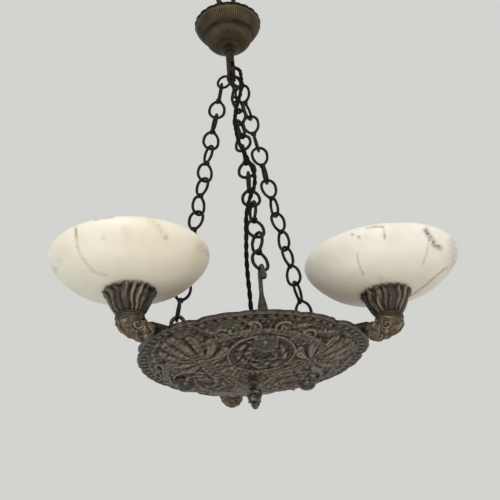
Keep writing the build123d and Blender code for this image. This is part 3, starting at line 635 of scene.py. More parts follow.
@dataclass(frozen=True)
class VeinedAlabaster:
    """Turned and waxed alabaster: translucent cream stone with cloudy bands and thin brown veins."""

    name: str
    cloud: str
    body: str
    warm: str
    vein: str = "#75532f"
    seed: float = 0.0
    vein_share: float = 0.09
    warp_mm: float = 60.0
    cloud_mm: float = 70.0
    zone_mm: float = 150.0
    vein_mm: float = 118.0
    gate_mm: float = 85.0
    ragged_mm: float = 4.0
    grain_mm: float = 2.5

    def material(self) -> bpy.types.Material:
        """Clouds of two creams, wide warm zones, and veins where a warped noise crosses its middle value.

        The relief attribute carries the veins, stains and strokes of painted shade drawn on the mesh; a fine
        noise makes their edges ragged.
        """
        n = Nodes(self.name)
        place = (n.add("TexCoord"), "Object")
        shift = (self.seed, self.seed * 0.7, self.seed * 0.4)
        moved = (n.add("Mapping", Vector=place, Location=shift), "Vector")
        warp = n.noise(moved, self.warp_mm, 4.0, Distortion=0.4)
        bent = (n.add("MixRGB", {"blend_type": "LINEAR_LIGHT"}, Fac=0.022, Color1=moved,
                      Color2=(warp, "Color")), "Color")
        clouds = n.noise(bent, self.cloud_mm, 6.0, Roughness=0.58)
        body = n.ramp((clouds, "Fac"), [(0.36, self.body), (0.62, self.cloud)])
        zones = n.noise(bent, self.zone_mm, 3.0)
        warmed = n.mix(n.remap((zones, "Fac"), 0.5, 0.68, 0.0, 0.65), (body, "Color"), self.warm)
        lines = n.noise(bent, self.vein_mm, 7.0, Roughness=0.62)
        near = n.add("Math", {"operation": "ABSOLUTE"}, i0=n.math("SUBTRACT", (lines, "Fac"), 0.53))
        thin = n.remap((near, 0), 0.0, 0.011, 1.0, 0.0)
        gate = n.noise(moved, self.gate_mm, 2.0)
        open_gate = n.remap((gate, "Fac"), 0.5, 0.6, 0.0, self.vein_share)
        veined = n.mix(n.math("MULTIPLY", thin, open_gate), warmed, self.vein)
        drawn = n.add("Attribute", {"attribute_name": "relief"})
        ragged = n.noise(place, self.ragged_mm, 4.0)
        stroke = n.math("MULTIPLY", (drawn, "Fac"), n.remap((ragged, "Fac"), 0.35, 0.6, 0.35, 1.1))
        veined = n.mix(stroke, veined, self.vein)
        grain = n.noise(place, self.grain_mm, 3.0)
        shader = n.add("BsdfPrincipled", Base_Color=veined, Roughness=0.42, IOR=1.52, Subsurface_Weight=0.35,
                       Subsurface_Scale=0.012, Normal=n.raised((grain, "Fac"), 0.08, 0.0004))
        shader.inputs["Subsurface Radius"].default_value = (1.0, 0.7, 0.45)
        return n.finish(shader)


@dataclass(frozen=True)
class Plain:
    """A moulded, glazed, plated or glass surface with a fine unevenness in its gloss."""

    name: str
    colour: str
    roughness: float = 0.4
    metallic: float = 0.0
    grain_mm: float = 1.5
    strength: float = 0.15
    transmission: float = 0.0

    def material(self) -> bpy.types.Material:
        """Colour varies a little and roughness follows the same fine noise."""
        n = Nodes(self.name)
        place = (n.add("TexCoord"), "Object")
        fine = (n.noise(place, self.grain_mm, 3.0), "Fac")
        tone = n.add("HueSaturation", Color=linear(self.colour), Value=n.remap(fine, 0.0, 1.0, 0.88, 1.1))
        shader = n.add("BsdfPrincipled", Base_Color=(tone, "Color"), Metallic=self.metallic,
                       Roughness=n.remap(fine, 0.0, 1.0, self.roughness * 0.85, self.roughness * 1.2),
                       Normal=n.raised(fine, self.strength, 0.0002), Transmission_Weight=self.transmission)
        return n.finish(shader)


@dataclass(frozen=True)
class BraidedCotton:
    """Cotton braid over a twisted pair: matt black, with the plait's diamonds every few millimetres."""

    name: str = "braided_cotton_black"
    colour: str = "#120f0d"
    shadow: str = "#060504"
    thread_mm: float = 2.0

    def material(self) -> bpy.types.Material:
        """Two crossed sets of thin ridges, wider than real thread so that they show."""
        n = Nodes(self.name)
        place = (n.add("TexCoord"), "Object")
        waves = []
        for way in (1, -1):
            turned = n.add("Mapping", Vector=place, Rotation=(0.6 * way, 0.5 * way, 0.8 * way))
            waves.append(n.add("TexWave", Vector=(turned, "Vector"), Scale=METRE / self.thread_mm / WAVE_RATE,
                               Distortion=1.0))
        plait = n.math("MULTIPLY", *((wave, "Fac") for wave in waves))
        colour = n.ramp(plait, [(0.0, self.shadow), (0.8, self.colour)])
        shader = n.add("BsdfPrincipled", Base_Color=(colour, "Color"), Roughness=0.85,
                       Specular_IOR_Level=0.15, Normal=n.raised(plait, 0.6, 0.0005))
        return n.finish(shader)


DISH_BRONZE = CastBronze("cast_bronze_dish", "#120e0b", "#55473a", "#8f7e6b", "#525c4b",
                         patina_share=0.5, metallic=0.35, roughness=0.4)
BOSS_BRONZE = CastBronze("cast_bronze_boss", "#1c1815", "#4b433b", "#7d7468",
                         patina_share=0.2, metallic=0.6, roughness=0.28, carved=False)
CUP_BRONZE = CastBronze("cast_bronze_cup", "#100c09", "#463a2d", "#84765e", "#4a4a3c",
                        patina_share=0.2, metallic=0.35, roughness=0.42)
ELBOW_BRONZE = CastBronze("cast_bronze_elbow", "#120d09", "#4f4435", "#8c7a5f", "#7a5a36",
                          patina_share=0.5, metallic=0.3)
ARM_BRONZE = CastBronze("cast_bronze_arm", "#0e0b09", "#2b231b", "#4d4032", patina_share=0.05, carved=False)
HOOK_BRONZE = CastBronze("cast_bronze_hook", "#171310", "#453d33", "#766b5c", patina_share=0.1, carved=False)
FINIAL_BRONZE = CastBronze("cast_bronze_finial", "#14110c", "#4a4033", "#847a5f", "#46523f",
                           patina_share=0.6, metallic=0.35)
STEM_BRONZE = CastBronze("drawn_bronze_stem", "#140d07", "#33220f", "#5d421f", "#3a3020",
                         patina_share=0.1, carved=False)
CANOPY_BRASS = SpunBrass("spun_brass_canopy", "#0f0b07", "#5a4d36")
CHAIN_IRON = BlackIron("blackened_iron_wire")
STEEL = Plain("plated_steel", "#8a8882", 0.35, 0.9)
BAKELITE = Plain("moulded_phenolic", "#26201b", 0.35)
PORCELAIN = Plain("glazed_porcelain", "#ece8de", 0.15)
OPAL = Plain("opal_glass", "#f2f0ea", 0.12, transmission=0.15)
NICKEL = Plain("nickelled_brass", "#b9b6ae", 0.25, 0.95)
WIRE = Plain("rubber_insulation", "#4a4238", 0.6)


# ---------------------------------------------------------------- dish
@dataclass
class Dish:
    """Cast relief dish: lip, egg-and-dart band, strapwork, medallions, palmettes and leaves."""

    radius: float = 148.0
    hole: float = 4.4
    lobe: float = 6.0
    lobe_half_angle: float = 24.0
    lobe_nick: tuple[float, float] = (3.8, 2.1)
    """Depth of the nick at each end of a lobe, and its half width in degrees."""
    chain_nick: tuple[float, float] = (2.6, 2.0)
    chain_nick_angle: float = 15.0
    depth: float = 29.0
    wall: float = 3.2
    sphere: float = 391.7
    """Radius of the sphere that the underside follows, out to field_radius."""
    field_radius: float = 135.0
    border_drop: float = 1.4
    slope_limit: float = 0.36
    edge_depth: float = 0.7
    medallion_out: float = 66.0
    medallion_radius: float = 43.0
    palmette_out: float = 80.0
    """Centre line to the root of each palmette."""
    boss_out: float = 95.1
    boss_root: float = 1.0
    """How far the bosses' skirts go into the underside."""
    scallops: int = 45
    eggs: int = 36
    bold: float = 1.35
    """Height of the field's carving against the border's."""
    rows: int = 112
    back_rows: int = 26
    columns: int = 640

    def rim(self, angle: np.ndarray) -> np.ndarray:
        """Radius of the outline: a circle, a wide lobe at each arm, and small nicks.

        Args:
            angle: Angles round the centre line in radians.

        Returns:
            The outline's radius at each angle.
        """
        reach = np.full_like(angle, self.radius)
        for lamp in Lamp:
            away = degrees_from(angle, lamp.value)
            reach += self.lobe * np.clip(1 - (away / self.lobe_half_angle) ** 2, 0, 1) ** 0.7
            for side in (-1, 1):
                reach -= self.lobe_nick[0] * bump(away - side * self.lobe_half_angle, self.lobe_nick[1])
        for chain in ChainSide:
            away = np.abs(degrees_from(angle, chain.value))
            reach -= self.chain_nick[0] * bump(away - self.chain_nick_angle, self.chain_nick[1])
        return reach + 1.5 * (np.abs(np.cos(angle * self.scallops / 2)) ** 0.5 - 0.75)

    def underside(self, r: np.ndarray) -> np.ndarray:
        """Height of the plain underside: a sphere out to the border, then a nearly flat band."""
        inner = -self.depth + self.sphere - np.sqrt(self.sphere**2 - np.minimum(r, self.field_radius) ** 2)
        return inner + window(r, self.field_radius, 400.0, 2.0) * self.border_drop

    def medallion(self, x: np.ndarray, y: np.ndarray, place: float) -> np.ndarray:
        """Relief round one medallion.

        A pointed oval strap is the set of points near the outline of two crossed circles. The medallion is
        two rings with beads between them. Its wreath is a cosine round the circle whose phase slides with the
        radius.

        Args:
            x: First coordinate of each point.
            y: Second coordinate.
            place: The medallion's angle round the centre line in degrees.

        Returns:
            The height at each point.
        """
        along, across = local(x, y, place, self.medallion_out)
        distance = np.hypot(along, across)
        turn = np.arctan2(across, along)
        half_long, half_high = 84.0, 53.0
        arc = (half_long**2 + half_high**2) / (2 * half_high)
        offset = arc - half_high
        oval = np.maximum(np.hypot(across, along - offset), np.hypot(across, along + offset)) - arc
        outside = 1 - window(distance, -1.0, self.medallion_radius + 1.0, 1.2)
        strap = (1.7 * window(oval, -9.0, -1.0, 1.4) + 1.5 * bump(oval + 9.0, 1.1)
                 + 1.5 * bump(oval + 1.0, 1.1) + 0.8 * bump(oval + 5.0, 0.9)) * outside
        outer_ring, bead_ring, inner_ring, rosette_ring, beads = 41.0, 38.8, 36.6, 14.0, 44
        ring = 2.6 * bump(distance - outer_ring, 1.9) + 1.2 * bump(distance - inner_ring, 0.9)
        ring += 0.6 * (0.5 + 0.5 * np.cos(beads * turn)) * bump(distance - bead_ring, 1.0)
        wreath = window(distance, 15.5, 34.0, 2.4)
        swell = 0.6 + 0.4 * np.cos(0.55 * distance - 2 * turn)
        leaf = np.abs(np.cos(4.5 * turn + 0.16 * distance)) ** 0.7 * swell
        curl = np.cos(9 * turn - 0.5 * distance) * 0.5
        rosette = 1.4 * bump(distance - rosette_ring, 1.3)
        return strap + ring + wreath * (2.6 * leaf + 0.7 * curl) + rosette

    def volutes(self, x: np.ndarray, y: np.ndarray, place: float) -> np.ndarray:
        """Scrolls between a medallion and the rim: on each side, spiral ridges round three centres.

        A centre is given by its distance outwards and to the side, its size and the hand of its spiral.

        Args:
            x: First coordinate of each point.
            y: Second coordinate.
            place: The medallion's angle round the centre line in degrees.

        Returns:
            The height at each point.
        """
        along, across = local(x, y, place)
        total = np.zeros_like(x)
        centres = ((119.0, 17.0, 12.0, 1), (101.0, 52.0, 13.0, -1), (112.0, 43.0, 7.0, 1))
        for side in (-1, 1):
            for out, aside, size, hand in centres:
                u, v = along - out, across * side - aside
                distance = np.hypot(u, v) + 1e-6
                turn = np.arctan2(v, u)
                spiral = np.cos(turn * hand - 2 * pi * np.log(distance / size + 0.15) / 0.9)
                total += 2.6 * np.clip(spiral, 0, 1) ** 1.3 * window(distance, -1.0, size, 1.6)
                total += 1.6 * bump(distance, 2.2)
        return total

    def palmette(self, x: np.ndarray, y: np.ndarray, place: float) -> np.ndarray:
        """Fan of long leaves at an arm: ridges that spread from one point and bend, with rounded tips.

        A leaf is one lobe of a cosine of the angle about the fan's root; the angle slides with the distance,
        so the leaves curve. Each has a sunk mid vein, and shorter leaves spray back to both sides.

        Args:
            x: First coordinate of each point.
            y: Second coordinate.
            place: The arm's angle round the centre line in degrees.

        Returns:
            The height at each point.
        """
        along, across = local(x, y, place, self.palmette_out)
        distance = np.hypot(along, across)
        turn = np.arctan2(across, along)
        beat = 6.5
        bent = turn + 0.006 * distance * np.sign(turn)
        leaves = np.abs(np.cos(bent * beat))
        tip = 52.0 + 5.0 * leaves - 9.0 * np.abs(turn) / 1.6
        fan = window(distance, 8.0, tip, 2.5) * window(np.abs(turn), -1.0, 2.0, 0.12)
        vein = bump((bent * beat / pi - np.round(bent * beat / pi)) * distance, 1.0)
        swell = 0.75 + 0.35 * bump(distance - 30.0, 14.0)
        back = window(distance, 7.0, 36.0, 3.0) * window(np.abs(turn), 2.1, 4.0, 0.15)
        spray = np.abs(np.cos(turn * 5.0 + 0.1 * distance)) * back
        bud = bump(distance - 4.0, 3.0)
        return 4.2 * leaves**0.7 * fan * swell - 1.3 * vein * fan + 2.8 * spray + 3.4 * bud

    def foliage(self, x: np.ndarray, y: np.ndarray) -> np.ndarray:
        """Leafage that fills the ground: bent ridges that flow out of the nearest palmette's root.

        Args:
            x: First coordinate of each point.
            y: Second coordinate.

        Returns:
            The height at each point.
        """
        total = np.zeros_like(x)
        nearest = np.full_like(x, np.inf)
        for lamp in Lamp:
            along, across = local(x, y, lamp.value, self.palmette_out)
            distance, turn = np.hypot(along, across), np.arctan2(across, along)
            flow = np.abs(np.cos(4.5 * turn + 0.11 * distance + 0.8 * np.sin(0.14 * distance)))
            curl = np.clip(np.cos(0.34 * distance + 3 * turn), 0, 1)
            total = np.where(distance < nearest, 1.7 * flow**1.2 + 1.0 * curl, total)
            nearest = np.minimum(nearest, distance)
        return total

    def relief(self, x: np.ndarray, y: np.ndarray, rim: np.ndarray) -> np.ndarray:
        """Height of the carving over the plain underside, outwards.

        Medallions come first, scrolls and palmettes fill what they leave, and leafage fills the ground.

        Args:
            x: First coordinate of each point.
            y: Second coordinate.
            rim: Radius of the outline at each point's angle.

        Returns:
            The height at each point.
        """
        r, angle = np.hypot(x, y), np.arctan2(y, x)
        inset = rim - r
        eggs = np.abs(np.cos(angle * self.eggs)) ** 0.7 * window(inset, 6.2, 12.0, 0.9)
        darts = bump(np.abs(np.sin(angle * self.eggs)) - 1, 0.2) * window(inset, 6.0, 12.4, 0.9)
        total = 2.2 * bump(inset - 2.0, 2.1) + 1.0 * bump(inset - 5.0, 0.9) + 2.1 * eggs - 0.9 * darts
        total += 1.8 * bump(inset - 14.0, 1.2)
        past_star = window(r, 20.0, 400.0, 2.0)
        field_share = window(inset, 15.0, 400.0, 1.0) * past_star
        carving = self.foliage(x, y) * window(inset, 16.0, 400.0, 1.5)
        ornament = np.zeros_like(x)
        for chain in ChainSide:
            ornament = np.maximum(ornament, 1.25 * self.medallion(x, y, chain.value))
        for chain in ChainSide:
            ornament = np.maximum(ornament, 1.25 * self.volutes(x, y, chain.value) * (ornament < 1.2))
        for lamp in Lamp:
            ornament = np.maximum(ornament, self.palmette(x, y, lamp.value) * (ornament < 2.4))
        inside = np.zeros_like(x)
        for chain in ChainSide:
            a = radians(chain.value)
            from_middle = np.hypot(x - self.medallion_out * cos(a), y - self.medallion_out * sin(a))
            inside = np.maximum(inside, window(from_middle, -1.0, self.medallion_radius, 1.2))
        over_ground = np.maximum(carving * 0.35, ornament)
        carving = np.where(ornament > 0.5, over_ground, carving * (1 - inside) + ornament)
        petals = np.abs(np.cos(angle * 9 + 0.03 * r * np.sin(3 * angle)))
        reach = 40.0 + 12.0 * np.abs(np.cos(angle * 1.5 + pi / 4))
        star = 4.0 * petals**0.8 * window(r, 10.0, reach, 3.0)
        carving = np.where(inside > 0.5, carving, np.maximum(carving, star))
        total += field_share * carving + (1 - past_star) * star
        total += 0.5 * ripple(x, y, 11, 8.0) * field_share + 0.2 * ripple(x, y, 5, 3.6)
        return total * (1 + (self.bold - 1) * field_share)

    def build(self) -> bpy.types.Object:
        """Underside with relief, lip edge and a nearly plain inner side, as one closed sheet."""
        angle = np.linspace(0, 2 * pi, self.columns, endpoint=False)
        share = np.linspace(0, 1, self.rows) ** 0.92
        rim = self.rim(angle)
        r = self.hole + share[:, None] * (rim - self.hole)
        x, y = r * np.cos(angle), r * np.sin(angle)
        carving = softened(self.relief(x, y, rim[None, :]), 1)
        slope = np.clip(r / self.sphere, 0, self.slope_limit)
        edge = window(rim - r, -5.0, 1.1, 0.8)
        under = np.stack([x + carving * slope * np.cos(angle) * (1 - edge),
                          y + carving * slope * np.sin(angle) * (1 - edge),
                          self.underside(r) - carving * (1 - 0.7 * edge)], -1)
        # Colour level: painted highlight on the crests and painted shade in the crevices, from the carving
        # against a blurred copy of itself, and higher carving a little lighter.
        ridge_wear_and_highlight = carving - softened(carving, 14)
        level = np.clip(0.45 + 0.42 * ridge_wear_and_highlight + 0.05 * (carving - 2.6), 0, 1)
        r = self.hole + np.linspace(1, 0, self.back_rows)[:, None] * (rim - self.hole)
        top = self.underside(r) + self.wall * np.clip((rim - r) / 16.0, 0, 1) ** 0.5
        lip = window(rim - r, -5.0, 4.5, 0.7)
        top = np.where(r > 131, np.maximum(top, -3.6 + 3.2 * lip), top)
        top = top + 0.12 * ripple(r, angle * 40, 3, 20.0)
        inside = np.stack([r * np.cos(angle), r * np.sin(angle), top], -1)
        inside[0] = np.stack([under[-1, :, 0], under[-1, :, 1], np.full(self.columns, -self.edge_depth)], -1)
        soup = Soup()
        soup.grid(under, value=level, flip=True)
        soup.grid(np.stack([under[-1], inside[0]]), value=0.35, flip=True)
        soup.grid(inside, value=0.3, flip=True)
        soup.grid(np.stack([inside[-1], under[0]]), value=0.2, flip=True)
        return dress(soup.object("relief_dish"), DISH_BRONZE, "lamp", "dish_bronze", "dish")

    def bosses(self) -> bpy.types.Object:
        """Domed nuts in the medallions: smooth domes on petalled skirts that reach into the dish."""
        sides, petals = 96, 12
        profile = smooth_profile([(0.0, -18.6), (15.6, -18.8), (16.2, -20.6), (15.0, -22.6), (12.6, -23.4),
                                  (12.0, -24.6), (10.9, -27.4), (8.4, -30.0), (4.6, -31.6), (0.0, -32.1)], 70)
        rings = lathe(profile, sides)
        angle = np.linspace(0, 2 * pi, sides, endpoint=False)
        swell = 1 + 0.06 * np.cos(petals * angle)[None, :] * window(profile[:, :1], 13.0, 20.0, 0.8)
        rings[..., :2] *= swell[..., None]
        soup = Soup()
        for chain in ChainSide:
            at = placed(rings, chain.value, self.boss_out)
            root = self.underside(np.hypot(at[..., 0], at[..., 1])) + self.boss_root
            at[..., 2] += window(profile[:, 1:2], -19.3, 0.0, 0.3) * (root - at[..., 2])
            soup.grid(at)
        return dress(soup.object("medallion_bosses"), BOSS_BRONZE, "lamp", "dish_bronze", "hook_nuts")


# ---------------------------------------------------------------- scene
@dataclass(frozen=True)
class SoftLight:
    """A square soft light that looks at the lamp's middle."""

    name: str
    place: tuple[float, float, float]
    size: float
    power: float
    colour: str
    target: tuple[float, float, float] = (0, 0, -0.5)

    def build(self) -> None:
        """Add the light."""
        data = bpy.data.lights.new(self.name, "AREA")
        data.size = self.size
        data.energy = self.power
        data.color = linear(self.colour)[:3]
        light = bpy.data.objects.new(self.name, data)
        bpy.context.scene.collection.objects.link(light)
        light.location = self.place
        aim = Vector(self.target) - Vector(self.place)
        light.rotation_euler = aim.to_track_quat("-Z", "Y").to_euler()


LIGHTS = (
    SoftLight("window_left", (-1.6, -1.9, -0.2), 1.6, 9.5, "#f3f6fa"),
    SoftLight("window_low", (-0.3, -2.1, -1.0), 0.9, 15.0, "#fdf8ee"),
    SoftLight("room_right", (2.0, -0.8, -0.6), 1.6, 5.0, "#fbf1e2"),
)


def pale_floor() -> None:
    """Lay a wide pale floor some way under the lamp."""
    half, level = 3000.0, -700.0
    corners = np.array([[[x, y, level] for x in (-half, half)] for y in (-half, half)])
    soup = Soup()
    soup.grid(corners, wrap_columns=False)
    ground = soup.object("floor")
    paint = Nodes("pale_floor")
    spread = paint.add("TexNoise", Scale=3.0)
    shade = paint.ramp((spread, "Fac"), [(0.3, "#dcdcda"), (0.7, "#e2e2e0")])
    shader = paint.add("BsdfPrincipled", Base_Color=(shade, "Color"), Roughness=0.9)
    ground.data.materials.append(paint.finish(shader))


def pale_room() -> None:
    """Surround the lamp with soft light, and show the camera a plain pale colour behind it."""
    world = bpy.data.worlds.new("pale_room")
    bpy.context.scene.world = world
    world.use_nodes = True
    tree = world.node_tree
    tree.nodes.clear()
    backgrounds = []
    for colour, strength in (("#dfe3e6", 0.9), ("#d3d3d0", 1.0)):
        background = tree.nodes.new("ShaderNodeBackground")
        background.inputs["Color"].default_value = linear(colour)
        background.inputs["Strength"].default_value = strength
        backgrounds.append(background)
    path = tree.nodes.new("ShaderNodeLightPath")
    either = tree.nodes.new("ShaderNodeMath")
    either.operation = "MAXIMUM"
    mix = tree.nodes.new("ShaderNodeMixShader")
    output = tree.nodes.new("ShaderNodeOutputWorld")
    tree.links.new(path.outputs["Is Camera Ray"], either.inputs[0])
    tree.links.new(path.outputs["Is Transmission Ray"], either.inputs[1])
    tree.links.new(either.outputs[0], mix.inputs["Fac"])
    for place, background in enumerate(backgrounds, 1):
        tree.links.new(background.outputs[0], mix.inputs[place])
    tree.links.new(mix.outputs[0], output.inputs["Surface"])


def photograph_camera() -> None:
    """Stand the camera at the photograph's place, with its turns and its focal length."""
    right, up, forward = (Vector(axis) for axis in VIEW.axes())
    data = bpy.data.cameras.new("camera")
    data.sensor_width = 36.0
    data.lens = VIEW.focal / VIEW.frame * data.sensor_width
    camera = bpy.data.objects.new("camera", data)
    bpy.context.scene.collection.objects.link(camera)
    turn = Matrix((right, up, -forward)).transposed()
    camera.matrix_world = Matrix.Translation(VIEW.place) @ turn.to_4x4()
    bpy.context.scene.camera = camera
    bpy.context.scene.view_settings.view_transform = "Standard"


def studio() -> None:
    """Pale floor, plain pale room, soft lights, and a camera at the photograph's place."""
    pale_floor()
    pale_room()
    for light in LIGHTS:
        light.build()
    photograph_camera()


# ---------------------------------------------------------------- cups, arms and finial
def dress(piece: bpy.types.Object, finish: object, body: str, slot: str, *nodes: str) -> bpy.types.Object:
    """Give a piece its finish and its body, and hide the nodes that it stands for.

    Args:
        piece: The new object.
        finish: A finish with a material method.
        body: Body that carries it.
        slot: Material slot of the record; not used.
        *nodes: Nodes that it replaces.

    Returns:
        The same object.
    """
    piece.data.materials.append(MATERIALS.of(finish))
    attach(piece, body)
    if nodes:
        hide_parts(*nodes)
    return piece


class Materials:
    """Makes each finish's material once and hands it out."""

    def __init__(self) -> None:
        """Start with none made."""
        self.made: dict[str, bpy.types.Material] = {}

    def of(self, finish: object) -> bpy.types.Material:
        """The material of a finish, made at its first use."""
        if finish.name not in self.made:
            self.made[finish.name] = finish.material()
        return self.made[finish.name]


MATERIALS = Materials()


@dataclass
class Cup:
    """Cast leaf cup: a double astragal, then wavy ribs that spread and curl over in rounded tips."""

    foot: float = 9.75
    ribs: int = 17
    depth: float = 2.3
    sway: float = 1.1
    rib_start: float = 16.4
    tip_start: float = 42.0
    tip_drop: float = 3.4
    columns: int = 408

    def build(self, lamp: Lamp) -> bpy.types.Object:
        """One cup on its lamp's axis, closed through its bore.

        Ribs are the size of a cosine round the cup, raised to under one so that they are full. Its phase runs
        faster and slower round the cup, and sways with the height, so no two ribs are alike. Tips roll out
        over the lip, which drops between them.

        Args:
            lamp: Which lamp it belongs to.

        Returns:
            The cup's object.
        """
        outer = smooth_profile([
            (6.7, self.foot), (14.9, self.foot), (15.6, 10.0), (17.4, 10.5), (18.2, 11.5), (17.5, 12.5),
            (16.8, 12.9), (17.3, 13.5), (17.6, 14.3), (16.9, 15.2), (15.9, 15.8), (16.4, 16.9), (18.4, 18.8),
            (21.0, 22.4), (23.6, 27.2), (26.0, 32.6), (28.0, 37.6), (29.6, 41.4), (31.0, 43.8), (32.2, 45.0),
            (32.4, 46.1), (31.0, 46.7), (28.8, 46.3)], 112)
        inner = smooth_profile([(27.8, 45.4), (26.4, 43.0), (24.4, 38.0), (21.4, 31.0), (13.0, 13.6),
                                (6.7, 12.75)], 30)
        angle = np.linspace(0, 2 * pi, self.columns, endpoint=False)
        r, h = outer[:, :1], outer[:, 1:2]
        seed = lamp.value
        warp = 0.9 * np.sin(3 * angle + seed) + 0.55 * np.sin(5 * angle + 1.7 * seed)
        sway = self.sway * np.sin((h - 15) / 30 * 2 * pi + 1.3 * np.sin(2 * angle + seed))
        phase = self.ribs * angle + warp + sway * window(h, 18.0, 60.0, 3.0)
        uneven = 0.82 + 0.28 * np.sin(4 * angle + seed) + 0.12 * np.sin(9 * angle)
        rib = np.abs(np.cos(phase / 2)) ** 0.62 * uneven + (1 - uneven) * 0.6
        crease = np.clip(np.cos(1.5 * phase + 0.8 * np.sin(h / 5.0)), 0, 1) ** 2
        share = window(h, self.rib_start, 60.0, 1.6)
        top = window(h, self.tip_start, 60.0, 1.6)
        ribbed = r + share * self.depth * (rib - 0.78)
        radius = ribbed - 0.55 * crease * share * (1 - top) + 1.0 * top * (rib - 0.6)
        height = h - top * (self.tip_drop * (1 - rib) + 0.8 * np.abs(np.sin(4 * angle + seed)))
        rows = np.stack([radius * np.cos(angle), radius * np.sin(angle), height + 0 * angle], -1)
        # Colour level: painted highlight on the rib crests and painted shade in the creases; the astragal is
        # lifted a little, with painted shade in the groove between its rings.
        ring = 0.4 * window(h, 9.0, 15.8, 0.4) * (1 - bump(h - 12.9, 0.5))
        painted_highlight_and_shade = 0.5 * rib**1.4 + 0.3 * rib**9 - 0.26 * crease
        value = np.clip(0.06 + share * painted_highlight_and_shade + ring, 0, 1) + 0 * angle
        soup = Soup()
        both = np.concatenate([rows, lathe(inner, self.columns)])
        values = np.concatenate([value, np.full((len(inner), self.columns), 0.15)])
        soup.grid(placed(both, lamp.value, LAMP_OUT), wrap_rows=True, value=values)
        name = lamp.name.lower()
        return dress(soup.object(f"leaf_cup_{name}"), CUP_BRONZE, "lamp", "cup_bronze", f"cup_{name}")


@dataclass
class Elbow:
    """Relief cast round each elbow: a leaf that curls under, a side scroll, and rings at the tube."""

    columns: int = 150
    rows: int = 120
    skin: float = 0.5
    core_depth: float = 2.4
    scroll_run: float = 9.0
    scroll_turn: float = 1.35
    scroll_size: float = 5.6

    def relief(self, run: np.ndarray, turn: np.ndarray, radius: np.ndarray) -> np.ndarray:
        """Height of the carving over the horn.

        Leaf ribs are a cosine of the turn round the horn whose phase slides along it. The scroll is a cosine
        of the turn about its own middle, whose phase slides with the logarithm of the distance. Rings are
        bell curves.

        Args:
            run: Distance along the horn's centre line, one per row.
            turn: Angle round the horn at each point, from below.
            radius: Radius of the horn, one per row.

        Returns:
            The height at each point.
        """
        end = run[-1, 0]
        leaf = np.abs(np.cos(2.5 * turn + 0.19 * run)) ** 0.8
        leaf = leaf + 0.4 * np.clip(np.cos(7 * turn - 0.5 * run), 0, 1)
        lobes = np.clip(np.cos(0.75 * run + 4.0 * np.abs(turn)), 0, 1)
        u, v = run - self.scroll_run, (np.abs(turn) - self.scroll_turn) * radius[:, None]
        reach = np.hypot(u, v) + 1e-6
        spiral = np.arctan2(v, u) - 2 * pi * np.log(reach / 6.4 + 0.22) / 1.1
        scroll = np.clip(np.cos(spiral), 0, 1) ** 1.2
        near = window(reach, -1.0, self.scroll_size, 1.6)
        rings = sum(bump(run - at, 0.8) for at in (end - 6.5, end - 4.2, end - 2.0))
        body = window(run, 1.5, end - 7.5, 1.2)
        lift = body * ((1 - near) * (1.5 * leaf + 0.8 * lobes) + near * (1.7 * scroll + 0.5)) + 1.0 * rings
        lift += 0.3 * ripple(run + 0 * turn, turn * 11, 17, 5.0)
        return (lift + self.skin) * np.clip((run + 0.6) / 2.0, 0, 1) * np.clip((end - run + 0.4) / 1.2, 0, 1)

    def build(self, lamp: Lamp) -> bpy.types.Object:
        """Sleeve round the horn's centre line, closed inside the casting.

        Args:
            lamp: Which lamp it belongs to.

        Returns:
            The sleeve's object.
        """
        line = smooth_profile([(0.1, 10.4), (0.0, 8.8), (-1.6, 5.2), (-6.0, 1.9), (-13.2, -0.1),
                               (-19.7, -0.2), (-25.5, 3.0), (-28.6, 5.7)], self.rows)
        path = np.stack([line[:, 0], np.zeros(self.rows), line[:, 1]], -1)
        steps = np.linalg.norm(np.diff(line, axis=0), axis=1)
        run = np.concatenate([[0], np.cumsum(steps)])[:, None]
        radius = np.interp(run[:, 0] / run[-1, 0], [0, 0.05, 0.16, 0.28, 0.48, 0.66, 0.86, 1],
                           [16.4, 16.2, 14.2, 12.2, 11.5, 11.8, 9.4, 7.4])
        grid, normal = tube(path, radius, self.columns, False)
        lift = self.relief(run, np.arctan2(normal[..., 1], -normal[..., 2]), radius)
        outer = grid + normal * lift[..., None]
        core, _ = tube(path, radius - self.core_depth, self.columns, False)
        # Colour level: painted highlight where the carving stands above a blurred copy of itself, painted
        # shade where it sinks below, and higher carving a little lighter.
        value = np.clip(0.48 + 0.6 * (lift - softened(lift, 12)) + 0.12 * (lift - 1.6), 0, 1)
        both = np.concatenate([outer, core[::-6]])
        values = np.concatenate([value, np.full((len(both) - self.rows, self.columns), 0.1)])
        soup = Soup()
        soup.grid(placed(both, lamp.value, LAMP_OUT), wrap_rows=True, value=values)
        return dress(soup.object(f"elbow_leaf_{lamp.name.lower()}"), ELBOW_BRONZE, "lamp", "arm_bronze")


